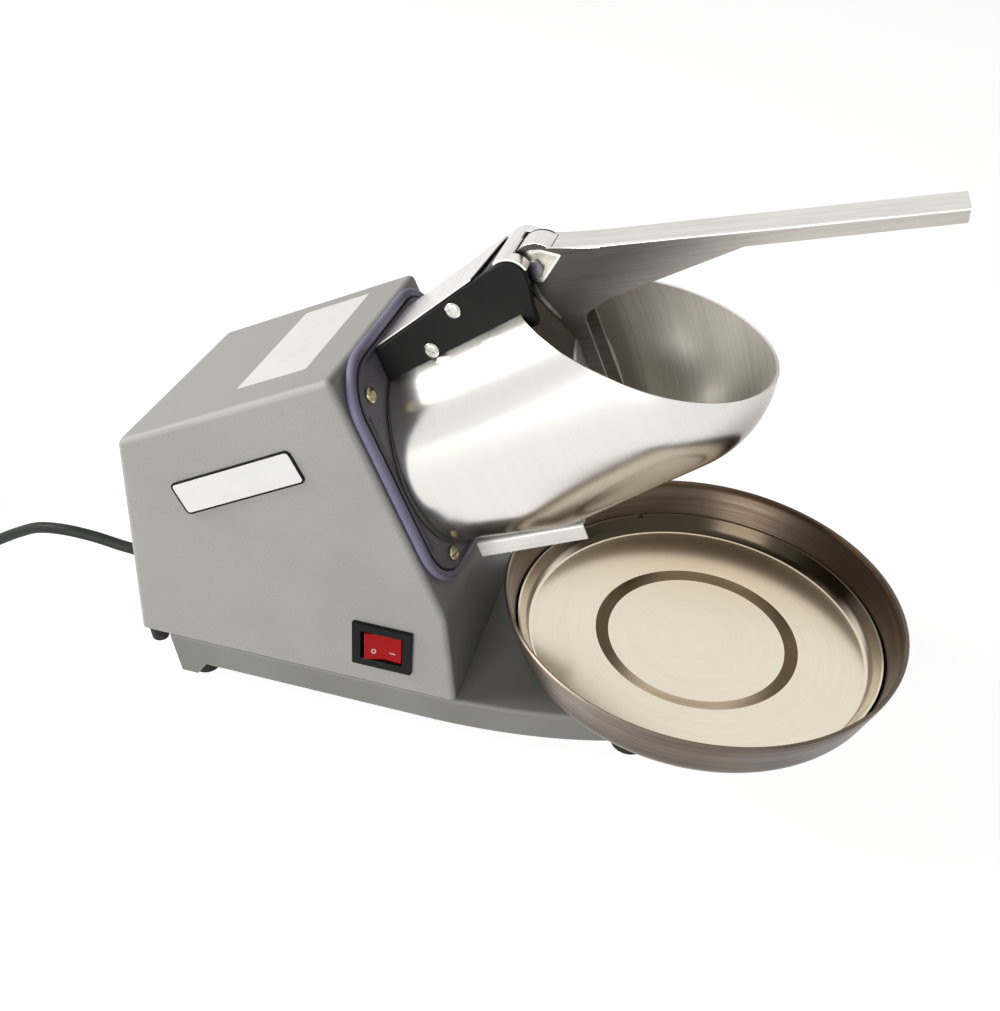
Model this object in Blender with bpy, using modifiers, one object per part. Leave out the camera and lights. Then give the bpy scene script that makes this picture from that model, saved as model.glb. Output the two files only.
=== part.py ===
"""Electric ice crusher with a slanted front, a scoop hopper, a pressing lever and a serving tray.

Metres, +Z up, +X from the motor end to the tray. Distances along X are measured from the casing's
rear wall, under an empty that puts the origin below the middle of the whole machine.
What turns or sits square to the slanted front is modelled in the drive frame: its origin is on the
slanted face, local X points out of the face along the shaft, and local Z runs up the slope.
"""
import math

import bmesh
import bpy
from mathutils import Matrix, Vector

GAP = 0.0003

# Casing
CASE_WIDTH = 0.1325
CASE_BOTTOM = 0.030
CASE_REAR_TOP = 0.160
CASE_PEAK_X = 0.119
CASE_PEAK_Z = 0.222
CASE_KNEE_X = 0.184
CASE_KNEE_Z = 0.087
CASE_FRONT_X = 0.192
CASE_WALL = 0.0014
CASE_ROUND = 0.0035

# Base
BASE_REAR_X = 0.018
BASE_FRONT_X = 0.340
BASE_TAPER_X = 0.175
BASE_SKIRT = 0.018
BASE_WALL = 0.0016
LEG_LENGTH = 0.016
LEG_BOTTOM = 0.003
LEG_LEAN = 0.006
FOOT_CLEARANCE = 0.0015
REAR_FOOT_X = 0.034
REAR_FOOT_RADIUS = 0.0080
FRONT_FOOT_X = BASE_FRONT_X - 0.050
FRONT_FOOT_RADIUS = 0.0075
FRONT_FLANGE_RADIUS = 0.0110
FRONT_FLANGE_HEIGHT = 0.0090
BUMPER_RADIUS = 0.006
BUMPER_HEIGHT = 0.010
BUMPER_X = 0.0085

# Slanted front and drive frame
DRIVE_UP = 0.0765
SHAFT_RADIUS = 0.004
SHAFT_REAR = -0.104
SHAFT_FRONT = 0.0300
PLATE_HALF_WIDTH = 0.0582
PLATE_TOP = 0.0713
PLATE_BOTTOM = -0.0570
PLATE_CORNER = 0.0240
PLATE_THICKNESS = 0.0060
SEAL_RADIUS = 0.0027
SPIGOT_HOLE = 0.030
PLATE_SCREW_RADIUS = 0.0042
PLATE_SCREW_HEAD = 0.0016
PLATE_SCREW_Y = 0.0470
PLATE_SCREW_UP = 0.0560
LOW_SCREW_Y = 0.0400
LOW_SCREW_UP = -0.0480

# Motor
MOTOR_RADIUS = 0.040
MOTOR_WALL = 0.0025
MOTOR_LENGTH = 0.062
BELL_DEPTH = 0.012
BEARING_RADIUS = 0.011
BEARING_WIDTH = 0.007
CORE_RADIUS = 0.034
CORE_LENGTH = 0.044
FAN_RADIUS = 0.034
FAN_BLADE = 0.0018
FAN_DEPTH = 0.010
FAN_BLADES = 9
CRADLE_THICKNESS = 0.003
CRADLE_WIDTH = 0.066
CRADLE_X = 0.092
CRADLE_FOOT = 0.022
CAPACITOR_RADIUS = 0.015
CAPACITOR_LENGTH = 0.052

# Blade disc and its housing
HOUSING_CLEARANCE = 0.0020
HOUSING_WALL = 0.0030
HOUSING_DEPTH = 0.0115
DISC_THICKNESS = 0.002
BLADE_LENGTH = 0.032
BLADE_WIDTH = 0.010
BLADE_THICKNESS = 0.002
NUT_RADIUS = 0.0085
NUT_HEIGHT = 0.005
OUTLET_WIDTH = 0.044

# Hopper
HOPPER_WALL = 0.0015
HOPPER_REAR_RADIUS = 0.0540
HOPPER_REAR_DROP = -0.0010
HOPPER_REAR = 0.0082
HOPPER_MID_RADIUS = 0.0520
HOPPER_MID_OUT = 0.0650
HOPPER_MID_UP = -0.0070
HOPPER_FRONT_RADIUS = 0.0610
HOPPER_FRONT_OUT = 0.1390
HOPPER_FRONT_UP = 0.0225
MOUTH_HEIGHT = 0.2440
MOUTH_X = 0.270
MOUTH_SLOPE = -0.140
RING_WIDTH = 0.0025
NOTCH_OUT = 0.0860
NOTCH_UP = 0.0450
NOTCH_CLEARANCE = 0.0015
HOUSING_RADIUS = HOPPER_REAR_RADIUS - HOPPER_WALL - HOUSING_CLEARANCE

# Hinge bracket, lever and presser
CHEEK_OUTER = 0.0240
CHEEK_THICKNESS = 0.0050
CHEEK_SCREW_RADIUS = 0.0042
CHEEK_SCREW_HEAD = 0.0014
CHEEK_SEAT = 0.0695
CHEEK_LOW = 0.0400
CHEEK_SLOPE_END = (0.0745, 0.0925)
CHEEK_FRONT = ((0.0950, CHEEK_LOW), (0.0955, 0.0700), (0.0975, 0.0820))
CHEEK_EYE = (0.0880, 0.0865)
CHEEK_EYE_RADIUS = 0.0098
CHEEK_SCREWS = (("front", 0.0559, 0.0800), ("rear", 0.0364, 0.0625))
COVER_WALL = 0.0012
COVER_TOP = ((0.0735, 0.0910), (0.0840, 0.0965))
COVER_DEPTH = 0.0160
COVER_UNDER = (0.0700, 0.0735)
LUG_ROOT = ((0.0838, 0.0957), (0.0735, 0.0904), (0.0735, 0.0860), (0.0835, 0.0810))
LUG_HALF_WIDTH = 0.0078
PIVOT_OUT = 0.0987
PIVOT_UP = 0.0856
PIN_RADIUS = 0.0030
PIN_HEAD_RADIUS = 0.0052
PIN_HEAD = 0.0026
LUG_RADIUS = 0.0058
LEVER_WIDTH = 0.0214
LEVER_WALL = 0.0015
LEVER_TIP_X = 0.391
LEVER_TIP_Z = 0.336
LEVER_TIP_DEPTH = 0.0074
LEVER_SHOULDER = (0.2335, 0.2905)
LEVER_UNDER = ((0.3000, 0.3012), (0.2420, 0.2640))
LEVER_HUB = 0.0080
LEVER_WEB_START = 0.0040
PRESSER_RADIUS = 0.038
PRESSER_THICKNESS = 0.002
PRESSER_OUT = 0.1060
PRESSER_UP = 0.0080
ARM_OUT = PRESSER_OUT + 0.0077
ARM_CORNER_UP = 0.0580
ARM_CORNER = 0.0060
ARM_REACH = 0.0100
LEVER_HOLE = 0.0033

# Snow guide
HOOD_HALF_WIDTH = 0.0150
HOOD_REAR = 0.0085
HOOD_TOP = -0.0598
HOOD_DEPTH = 0.0095
HOOD_WALL = 0.0012
HOOD_LENGTH = 0.0645

# Tray, its insert and stand
TRAY_REAR_X = 0.203
TRAY_RADIUS = 0.113
TRAY_X = TRAY_REAR_X + TRAY_RADIUS
TRAY_RIM_Z = 0.089
TRAY_BOTTOM_Z = 0.0545
TRAY_BOTTOM_RADIUS = TRAY_RADIUS - 0.013
TRAY_WALL = 0.0011
INSERT_RADIUS = TRAY_RADIUS - 0.0092
INSERT_RIM_Z = 0.0685
INSERT_WALL = 0.0010
RECESS_RADIUS = 0.0578
RECESS_SLOPE = 0.0067
RECESS_DEPTH = 0.0016
STAND_RADIUS = 0.052
STAND_FOOT = 0.060
STAND_WALL = 0.0018
PAD_RADIUS = 0.048
PAD_WIDTH = 0.010
PAD_HEIGHT = 0.003
STAND_X = 0.280

# Plain plate
BADGE_X = 0.0680
BADGE_Z = 0.1500
BADGE_HALF_LENGTH = 0.0390
BADGE_HALF_HEIGHT = 0.0100
BADGE_CORNER = 0.0030
BADGE_THICKNESS = 0.0010
BADGE_TILT = 29.0

# Switch
SWITCH_X = 0.149
SWITCH_Z = 0.0590
SWITCH_LENGTH = 0.0345
SWITCH_HEIGHT = 0.0300
SWITCH_BEZEL = 0.0026
SWITCH_FRAME = 0.0038
SWITCH_DEPTH = 0.022
ROCKER_TILT = 7.0

# Mains lead
CORD_RADIUS = 0.0035
GLAND_Y = -0.020
GLAND_Z = 0.0455
GLAND_RADIUS = 0.0075
GLAND_LENGTH = 0.026
COIL_X = -0.222
COIL_Y = 0.0108
COIL_OUTER = 0.0500
COIL_PITCH = 0.0078
COIL_TURNS = 2.5
COIL_POINTS = 24
STUB_LENGTH = 0.030
PLUG_LENGTH = 0.042
PLUG_WIDTH = 0.030
PIN_LENGTH = 0.019
PIN_SPACING = 0.019
PLUG_PIN_RADIUS = 0.0024

OVERALL = TRAY_X + TRAY_RADIUS
HALF_WIDTH = CASE_WIDTH / 2
SLOPE = math.atan2(CASE_KNEE_X - CASE_PEAK_X, CASE_PEAK_Z - CASE_KNEE_Z)
PLATE_FACE = GAP + PLATE_THICKNESS
DRIVE_X = CASE_PEAK_X + math.tan(SLOPE) * DRIVE_UP * math.cos(SLOPE)
DRIVE_Z = CASE_PEAK_Z - DRIVE_UP * math.cos(SLOPE)

for old in list(bpy.data.objects):
    bpy.data.objects.remove(old)

scene = bpy.context.scene
parts = bpy.data.collections.new("ice_crusher")
cutters = bpy.data.collections.new("cutters")
scene.collection.children.link(parts)
scene.collection.children.link(cutters)


def material(name, colour, roughness, metallic=0.0):
    made = bpy.data.materials.new(name)
    made.use_nodes = True
    shader = made.node_tree.nodes["Principled BSDF"]
    shader.inputs["Base Color"].default_value = (*colour, 1.0)
    shader.inputs["Roughness"].default_value = roughness
    shader.inputs["Metallic"].default_value = metallic
    return made


CASE_PAINT = material("case_paint", (0.43, 0.42, 0.40), 0.45)
BASE_PAINT = material("base_paint", (0.22, 0.23, 0.22), 0.5)
DARK_PAINT = material("dark_paint", (0.045, 0.045, 0.042), 0.5)
SLATE = material("slate_casting", (0.06, 0.06, 0.075), 0.5)
SEAL_RUBBER = material("seal_rubber", (0.17, 0.16, 0.26), 0.5)
STEEL = material("polished_steel", (0.75, 0.73, 0.70), 0.15, 1.0)
BRUSHED = material("brushed_steel", (0.60, 0.57, 0.54), 0.35, 1.0)
BLACK_PLASTIC = material("black_plastic", (0.02, 0.02, 0.022), 0.4)
RED_PLASTIC = material("red_plastic", (0.55, 0.03, 0.03), 0.25)
RUBBER = material("rubber", (0.025, 0.025, 0.025), 0.7)
ALLOY = material("cast_alloy", (0.50, 0.50, 0.50), 0.5, 1.0)
BRASS = material("brass", (0.60, 0.45, 0.22), 0.35, 1.0)
CORE_STEEL = material("core_steel", (0.20, 0.20, 0.22), 0.5, 1.0)
BLANK_PLATE = material("blank_plate", (0.80, 0.80, 0.78), 0.35)


def empty(name, parent=None, location=(0, 0, 0), rotation=(0, 0, 0)):
    made = bpy.data.objects.new(name, None)
    parts.objects.link(made)
    made.parent = parent
    made.location = location
    made.rotation_euler = rotation
    return made


machine = empty("ice_crusher_origin", location=(-OVERALL / 2, 0, 0))
drive = empty("drive_frame", machine, (DRIVE_X, 0, DRIVE_Z), (0, -SLOPE, 0))


def in_machine(out, up):
    """Machine X and Z of a place in the drive frame."""
    x = DRIVE_X + out * math.cos(SLOPE) - up * math.sin(SLOPE)
    z = DRIVE_Z + out * math.sin(SLOPE) + up * math.cos(SLOPE)
    return x, z


PIVOT_X, PIVOT_Z = in_machine(PIVOT_OUT, PIVOT_UP)
lever_pivot = empty("lever_pivot", machine, (PIVOT_X, 0, PIVOT_Z))


def place(obj, finish, parent, location, rotation):
    obj.data.materials.clear()
    obj.data.materials.append(finish)
    obj.parent = parent
    obj.location = location
    obj.rotation_euler = rotation
    return obj


def cutter(obj):
    """Moves an object to the cutters, which only shape the parts."""
    parts.objects.unlink(obj)
    cutters.objects.link(obj)
    obj.hide_render = True
    obj.display_type = "WIRE"
    return obj


def solid(name, bm, finish, parent=machine, location=(0, 0, 0), rotation=(0, 0, 0)):
    mesh = bpy.data.meshes.new(name)
    bmesh.ops.recalc_face_normals(bm, faces=bm.faces)
    bm.to_mesh(mesh)
    bm.free()
    obj = bpy.data.objects.new(name, mesh)
    parts.objects.link(obj)
    return place(obj, finish, parent, location, rotation)


def box(name, low, high, finish, parent=machine, rotation=(0, 0, 0), location=(0, 0, 0)):
    bm = bmesh.new()
    size = Vector(high) - Vector(low)
    middle = (Vector(high) + Vector(low)) / 2
    bmesh.ops.create_cube(bm, size=1, matrix=Matrix.Translation(middle) @ Matrix.Diagonal((*size, 1)))
    return solid(name, bm, finish, parent, location, rotation)


def disc(name, radius, low, high, finish, parent=machine, location=(0, 0, 0), along="Z", sides=32):
    """A round bar from low to high along one axis of its parent."""
    bm = bmesh.new()
    turn = {"Z": Matrix(), "X": Matrix.Rotation(math.pi / 2, 4, "Y"), "Y": Matrix.Rotation(-math.pi / 2, 4, "X")}
    shift = turn[along] @ Matrix.Translation((0, 0, (low + high) / 2))
    bmesh.ops.create_cone(bm, cap_ends=True, segments=sides, radius1=radius, radius2=radius,
                          depth=abs(high - low), matrix=shift)
    return solid(name, bm, finish, parent, location)


def turned(name, profile, finish, parent=machine, location=(0, 0, 0), rotation=(0, 0, 0), sides=48):
    """A turned shape about local Z; the profile is (radius, height) and runs once round the section."""
    turn_area = sum(a[0] * b[1] - b[0] * a[1] for a, b in zip(profile, profile[1:] + profile[:1]))
    if turn_area > 0:
        profile = profile[::-1]
    bm = bmesh.new()
    verts = [bm.verts.new((radius, 0, height)) for radius, height in profile]
    for start, end in zip(verts, verts[1:] + verts[:1]):
        if start.co.x > 0 or end.co.x > 0:
            bm.edges.new((start, end))
    mesh = bpy.data.meshes.new(name)
    bm.to_mesh(mesh)
    bm.free()
    obj = bpy.data.objects.new(name, mesh)
    parts.objects.link(obj)
    screw = obj.modifiers.new("Screw", "SCREW")
    screw.steps = sides
    screw.render_steps = sides
    screw.use_merge_vertices = True
    screw.merge_threshold = 0.00001
    return place(obj, finish, parent, location, rotation)


def flat_outline(name, points, low, high, finish, parent=machine, side_view=True, location=(0, 0, 0)):
    """A flat outline given thickness. Side view outlines are (X, Z) between two Y values."""
    curve = bpy.data.curves.new(name, "CURVE")
    curve.dimensions = "2D"
    curve.fill_mode = "BOTH"
    curve.extrude = (high - low) / 2
    spline = curve.splines.new("POLY")
    spline.points.add(len(points) - 1)
    for point, (across, up) in zip(spline.points, points):
        point.co = (across, up, 0, 1)
    spline.use_cyclic_u = True
    holder = bpy.data.objects.new(name + "_outline", curve)
    scene.collection.objects.link(holder)
    bpy.context.view_layer.update()
    mesh = bpy.data.meshes.new_from_object(holder.evaluated_get(bpy.context.evaluated_depsgraph_get()))
    bpy.data.objects.remove(holder)
    middle = (low + high) / 2
    if side_view:
        mesh.transform(Matrix.Translation((0, middle, 0)) @ Matrix.Rotation(math.pi / 2, 4, "X"))
    else:
        mesh.transform(Matrix.Translation((0, 0, middle)))
    bm = bmesh.new()
    bm.from_mesh(mesh)
    bmesh.ops.remove_doubles(bm, verts=bm.verts, dist=0.000001)
    bpy.data.meshes.remove(mesh)
    return solid(name, bm, finish, parent, location)


def tube(name, points, radius, finish, cyclic=False, resolution=2, parent=machine):
    curve = bpy.data.curves.new(name, "CURVE")
    curve.dimensions = "3D"
    curve.bevel_depth = radius
    curve.bevel_resolution = resolution
    curve.use_fill_caps = True
    spline = curve.splines.new("POLY")
    spline.points.add(len(points) - 1)
    for point, place_at in zip(spline.points, points):
        point.co = (*place_at, 1)
    spline.use_cyclic_u = cyclic
    obj = bpy.data.objects.new(name, curve)
    parts.objects.link(obj)
    return place(obj, finish, parent, (0, 0, 0), (0, 0, 0))


def boolean(obj, other, operation="DIFFERENCE"):
    cut = obj.modifiers.new(operation.title(), "BOOLEAN")
    cut.operation = operation
    cut.object = other if other.name in cutters.objects else cutter(other)
    return obj


def bevel(obj, width, segments=2, angle=30):
    edge = obj.modifiers.new("Bevel", "BEVEL")
    edge.width = width
    edge.segments = segments
    edge.limit_method = "ANGLE"
    edge.angle_limit = math.radians(angle)
    return obj


def rounded_rectangle(left, right, bottom, top, radius, steps=5):
    """Outline points of a rectangle with round corners, anticlockwise from the lower right."""
    corners = ((right - radius, bottom + radius, -90), (right - radius, top - radius, 0),
               (left + radius, top - radius, 90), (left + radius, bottom + radius, 180))
    points = []
    for centre_x, centre_y, start in corners:
        for step in range(steps + 1):
            angle = math.radians(start + 90 * step / steps)
            points.append((centre_x + radius * math.cos(angle), centre_y + radius * math.sin(angle)))
    return points


def arc(centre, radius, start, end, steps):
    """Points on an arc, with its angles in degrees."""
    turn = [math.radians(start + (end - start) * step / steps) for step in range(steps + 1)]
    return [(centre[0] + radius * math.cos(angle), centre[1] + radius * math.sin(angle)) for angle in turn]


def inset(points, distance):
    """Moves a closed outline's sides inwards by a distance."""
    count = len(points)
    area = sum(points[i][0] * points[(i + 1) % count][1] - points[(i + 1) % count][0] * points[i][1]
               for i in range(count))
    sign = 1 if area > 0 else -1
    moved = []
    for i in range(count):
        before, here, after = (Vector(points[(i + k) % count]) for k in (-1, 0, 1))
        first = (here - before).normalized()
        second = (after - here).normalized()
        normal_a = Vector((-first.y, first.x)) * sign
        normal_b = Vector((-second.y, second.x)) * sign
        bisector = (normal_a + normal_b).normalized()
        moved.append(tuple(here + bisector * distance / max(0.2, bisector.dot(normal_a))))
    return moved


# Casing: a bent sheet shell, open below, with the shaft hole, switch hole, cord hole and vents
CASE_SIDE = [(0, CASE_BOTTOM + GAP), (CASE_FRONT_X, CASE_BOTTOM + GAP), (CASE_KNEE_X, CASE_KNEE_Z),
             (CASE_PEAK_X, CASE_PEAK_Z), (0, CASE_REAR_TOP)]


def casing():
    shell = flat_outline("casing_shell", CASE_SIDE, -HALF_WIDTH, HALF_WIDTH, CASE_PAINT)
    bevel(shell, CASE_ROUND, 3, 20)
    inner = inset(CASE_SIDE, CASE_WALL)
    inner[0] = (inner[0][0], CASE_BOTTOM - CASE_ROUND * 2)
    inner[1] = (inner[1][0], CASE_BOTTOM - CASE_ROUND * 2)
    hollow = flat_outline("casing_hollow", inner, CASE_WALL - HALF_WIDTH, HALF_WIDTH - CASE_WALL, CASE_PAINT)
    bevel(hollow, CASE_ROUND - CASE_WALL, 2, 20)
    boolean(shell, hollow)
    boolean(shell, disc("spigot_hole", SPIGOT_HOLE, -0.01, 0.01, CASE_PAINT, drive, along="X"))
    hole = (SWITCH_LENGTH / 2 - SWITCH_FRAME + GAP, SWITCH_HEIGHT / 2 - SWITCH_FRAME + GAP)
    boolean(shell, box("switch_hole", (SWITCH_X - hole[0], -HALF_WIDTH - 0.01, SWITCH_Z - hole[1]),
                       (SWITCH_X + hole[0], -HALF_WIDTH + 0.01, SWITCH_Z + hole[1]), CASE_PAINT))
    boolean(shell, disc("cord_hole", GLAND_RADIUS - 0.0015, -0.01, 0.01, CASE_PAINT,
                        location=(0, GLAND_Y, GLAND_Z), along="X", sides=24))
    for row in range(5):
        for side in (-1, 1):
            low_z = CASE_BOTTOM + 0.060 + row * 0.010
            boolean(shell, box(f"vent_{row}_{side}", (-0.01, side * 0.030 - 0.016, low_z),
                               (0.01, side * 0.030 + 0.016, low_z + 0.0035), CASE_PAINT))
    return shell


casing()


# Base: a pressed top with side skirts and a long round front, open at the rear between two legs
def half_width_at(x):
    """Half of the base's width at a distance from the rear wall."""
    share = max(0.0, (x - BASE_TAPER_X) / (BASE_FRONT_X - BASE_TAPER_X))
    return HALF_WIDTH * math.sqrt(1 - share ** 2)


def base():
    skirt_low = CASE_BOTTOM - BASE_SKIRT
    front = BASE_FRONT_X + 0.01
    side = [(BASE_REAR_X, CASE_BOTTOM), (BASE_REAR_X + LEG_LEAN, LEG_BOTTOM),
            (BASE_REAR_X + LEG_LENGTH, LEG_BOTTOM), (BASE_REAR_X + LEG_LENGTH + LEG_LEAN, skirt_low),
            (front, skirt_low), (front, CASE_BOTTOM)]
    wide = HALF_WIDTH + GAP
    frame = flat_outline("base_frame", side, -wide, wide, BASE_PAINT)
    plan = [(BASE_REAR_X - 0.01, -HALF_WIDTH)]
    for step in range(-18, 19):
        angle = math.radians(step * 5)
        plan.append((BASE_TAPER_X + (BASE_FRONT_X - BASE_TAPER_X) * math.cos(angle), HALF_WIDTH * math.sin(angle)))
    plan.append((BASE_REAR_X - 0.01, HALF_WIDTH))
    boolean(frame, flat_outline("base_plan", plan, -0.01, CASE_BOTTOM + 0.01, BASE_PAINT, side_view=False),
            "INTERSECT")
    inner = inset(plan, BASE_WALL)
    inner[0] = (BASE_REAR_X - 0.02, inner[0][1])
    inner[-1] = (BASE_REAR_X - 0.02, inner[-1][1])
    boolean(frame, flat_outline("base_hollow", inner, -0.02, CASE_BOTTOM - BASE_WALL, BASE_PAINT,
                                side_view=False))
    underside = CASE_BOTTOM - BASE_WALL - GAP
    stem, flange = FRONT_FOOT_RADIUS, FRONT_FLANGE_RADIUS
    rear = [(0, underside), (REAR_FOOT_RADIUS, underside), (REAR_FOOT_RADIUS, 0.002),
            (REAR_FOOT_RADIUS - 0.0015, 0), (0, 0)]
    front = [(0, underside), (stem, underside), (stem, FRONT_FLANGE_HEIGHT),
             (flange - 0.0010, FRONT_FLANGE_HEIGHT), (flange, FRONT_FLANGE_HEIGHT - 0.0010),
             (flange, 0.0015), (flange - 0.0015, 0), (0, 0)]
    for label, x, radius, profile in (("rear", REAR_FOOT_X, REAR_FOOT_RADIUS, rear),
                                      ("front", FRONT_FOOT_X, FRONT_FOOT_RADIUS, front)):
        for side_name, sign in (("left", 1), ("right", -1)):
            across = sign * (half_width_at(x) - radius - FOOT_CLEARANCE - BASE_WALL)
            turned(f"foot_{label}_{side_name}", profile, RUBBER, location=(x, across, 0), sides=24)
    for side_name, sign in (("left", 1), ("right", -1)):
        turned(f"rear_bumper_{side_name}",
               [(0, CASE_BOTTOM - GAP), (BUMPER_RADIUS, CASE_BOTTOM - GAP),
                (BUMPER_RADIUS * 0.8, CASE_BOTTOM - BUMPER_HEIGHT), (0, CASE_BOTTOM - BUMPER_HEIGHT)],
               RUBBER, location=(BUMPER_X, sign * (HALF_WIDTH - BUMPER_RADIUS), 0), sides=20)


base()


# Front plate with its edge seal and four screws
def front_plate():
    outline = rounded_rectangle(-PLATE_HALF_WIDTH, PLATE_HALF_WIDTH, PLATE_BOTTOM, PLATE_TOP, PLATE_CORNER)
    plate = flat_outline("front_plate", outline, GAP, PLATE_FACE, SLATE, drive, side_view=False)
    plate.data.transform(Matrix.Rotation(math.pi / 2, 4, "Y") @ Matrix.Rotation(math.pi / 2, 4, "Z"))
    bevel(plate, 0.0012, 2, 50)
    boolean(plate, disc("shaft_hole", SHAFT_RADIUS + 0.0005, -0.01, 0.02, SLATE, drive, along="X"))
    reach = SEAL_RADIUS + GAP
    path = rounded_rectangle(-PLATE_HALF_WIDTH - reach, PLATE_HALF_WIDTH + reach, PLATE_BOTTOM - reach,
                             PLATE_TOP + reach, PLATE_CORNER + reach, 7)
    tube("front_seal", [(GAP + SEAL_RADIUS, across, up) for across, up in path], SEAL_RADIUS, SEAL_RUBBER,
         cyclic=True, resolution=2, parent=drive)
    screws = (("upper_left", PLATE_SCREW_Y, PLATE_SCREW_UP), ("upper_right", -PLATE_SCREW_Y, PLATE_SCREW_UP),
              ("lower_left", LOW_SCREW_Y, LOW_SCREW_UP), ("lower_right", -LOW_SCREW_Y, LOW_SCREW_UP))
    for label, across, up in screws:
        low = PLATE_FACE + GAP
        head = disc(f"plate_screw_{label}", PLATE_SCREW_RADIUS, low, low + PLATE_SCREW_HEAD, BRASS, drive,
                    location=(0, across, up), along="X", sides=16)
        slot_low = low + PLATE_SCREW_HEAD - 0.0007
        boolean(head, box(f"slot_{label}", (slot_low, -0.0004, -0.01), (slot_low + 0.005, 0.0004, 0.01),
                          BRASS, drive, location=(0, across, up), rotation=(0.6, 0, 0)))


front_plate()


# Motor: two bells, a housing, core, shaft, bearings and a fan, held by a saddle on the base
def ring(name, outer, inner, low, high, finish, parent=drive, sides=32):
    """A tube along the drive axis."""
    return turned(name, [(outer, high), (outer, low), (inner, low), (inner, high)], finish, parent,
                  rotation=(0, math.pi / 2, 0), sides=sides)


BELL_FRONT = -CASE_WALL - GAP
HOUSING_FRONT = BELL_FRONT - BELL_DEPTH - GAP
HOUSING_REAR = HOUSING_FRONT - MOTOR_LENGTH
BELL_REAR = HOUSING_REAR - GAP


def motor():
    seat = BEARING_RADIUS + GAP
    bore = SHAFT_RADIUS + GAP * 2
    spigot = SPIGOT_HOLE - GAP
    turned("motor_front_bell",
           [(spigot, 0), (spigot, BELL_FRONT), (MOTOR_RADIUS, BELL_FRONT), (MOTOR_RADIUS, BELL_FRONT - BELL_DEPTH),
            (seat, BELL_FRONT - BELL_DEPTH), (seat, BELL_FRONT - BELL_DEPTH + BEARING_WIDTH + GAP),
            (bore, BELL_FRONT - BELL_DEPTH + BEARING_WIDTH + GAP), (bore, 0)],
           ALLOY, drive, rotation=(0, math.pi / 2, 0), sides=40)
    ring("motor_housing", MOTOR_RADIUS, MOTOR_RADIUS - MOTOR_WALL, HOUSING_REAR, HOUSING_FRONT, CORE_STEEL,
         sides=40)
    turned("motor_rear_bell",
           [(MOTOR_RADIUS, BELL_REAR), (MOTOR_RADIUS, BELL_REAR - BELL_DEPTH), (bore, BELL_REAR - BELL_DEPTH),
            (bore, BELL_REAR - BELL_DEPTH + 0.004), (seat, BELL_REAR - BELL_DEPTH + 0.004), (seat, BELL_REAR)],
           ALLOY, drive, rotation=(0, math.pi / 2, 0), sides=40)
    front_low = BELL_FRONT - BELL_DEPTH
    ring("front_bearing", BEARING_RADIUS, SHAFT_RADIUS + GAP, front_low, front_low + BEARING_WIDTH, STEEL)
    rear_low = BELL_REAR - BELL_DEPTH + 0.004 + GAP
    ring("rear_bearing", BEARING_RADIUS, SHAFT_RADIUS + GAP, rear_low, rear_low + BEARING_WIDTH, STEEL)
    middle = (HOUSING_FRONT + HOUSING_REAR) / 2
    ring("motor_core", CORE_RADIUS, SHAFT_RADIUS + GAP, middle - CORE_LENGTH / 2, middle + CORE_LENGTH / 2,
         CORE_STEEL)
    disc("motor_shaft", SHAFT_RADIUS, SHAFT_REAR, SHAFT_FRONT, STEEL, drive, along="X", sides=24)
    fan_front = BELL_REAR - BELL_DEPTH - 0.002
    hub = ring("cooling_fan", 0.010, SHAFT_RADIUS + GAP, fan_front - FAN_DEPTH, fan_front, BLACK_PLASTIC)
    for number in range(FAN_BLADES):
        vane = box(f"vane_{number}", (fan_front - FAN_DEPTH, 0.008, -FAN_BLADE / 2),
                   (fan_front, FAN_RADIUS, FAN_BLADE / 2), BLACK_PLASTIC, drive,
                   rotation=(math.tau * number / FAN_BLADES, 0, 0))
        boolean(hub, vane, "UNION")
    foot = CRADLE_X + CRADLE_THICKNESS
    low = CASE_BOTTOM + GAP
    angle = [(CRADLE_X, low), (CRADLE_X + CRADLE_FOOT, low), (CRADLE_X + CRADLE_FOOT, low + CRADLE_THICKNESS),
             (foot, low + CRADLE_THICKNESS), (foot, 0.112), (CRADLE_X, 0.112)]
    cradle = flat_outline("motor_cradle", angle, -CRADLE_WIDTH / 2, CRADLE_WIDTH / 2, BRUSHED)
    boolean(cradle, disc("saddle", MOTOR_RADIUS + GAP, -0.12, 0.0, BRUSHED, drive, along="X", sides=40))
    tall = CAPACITOR_RADIUS + CASE_BOTTOM + GAP
    disc("run_capacitor", CAPACITOR_RADIUS, 0.022, 0.022 + CAPACITOR_LENGTH, BRUSHED, along="X",
         location=(0, 0.042, tall))
    box("terminal_block", (0.030, -0.040, CASE_BOTTOM + GAP), (0.060, -0.010, CASE_BOTTOM + GAP + 0.014),
        BLACK_PLASTIC)


motor()


# Snow chamber: housing ring, blade disc, two blades and the nut, with an outlet at the bottom
RING_LOW = PLATE_FACE + GAP
DISC_LOW = RING_LOW + HOUSING_DEPTH + 0.001
DISC_RADIUS = HOUSING_RADIUS - 0.0008


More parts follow.
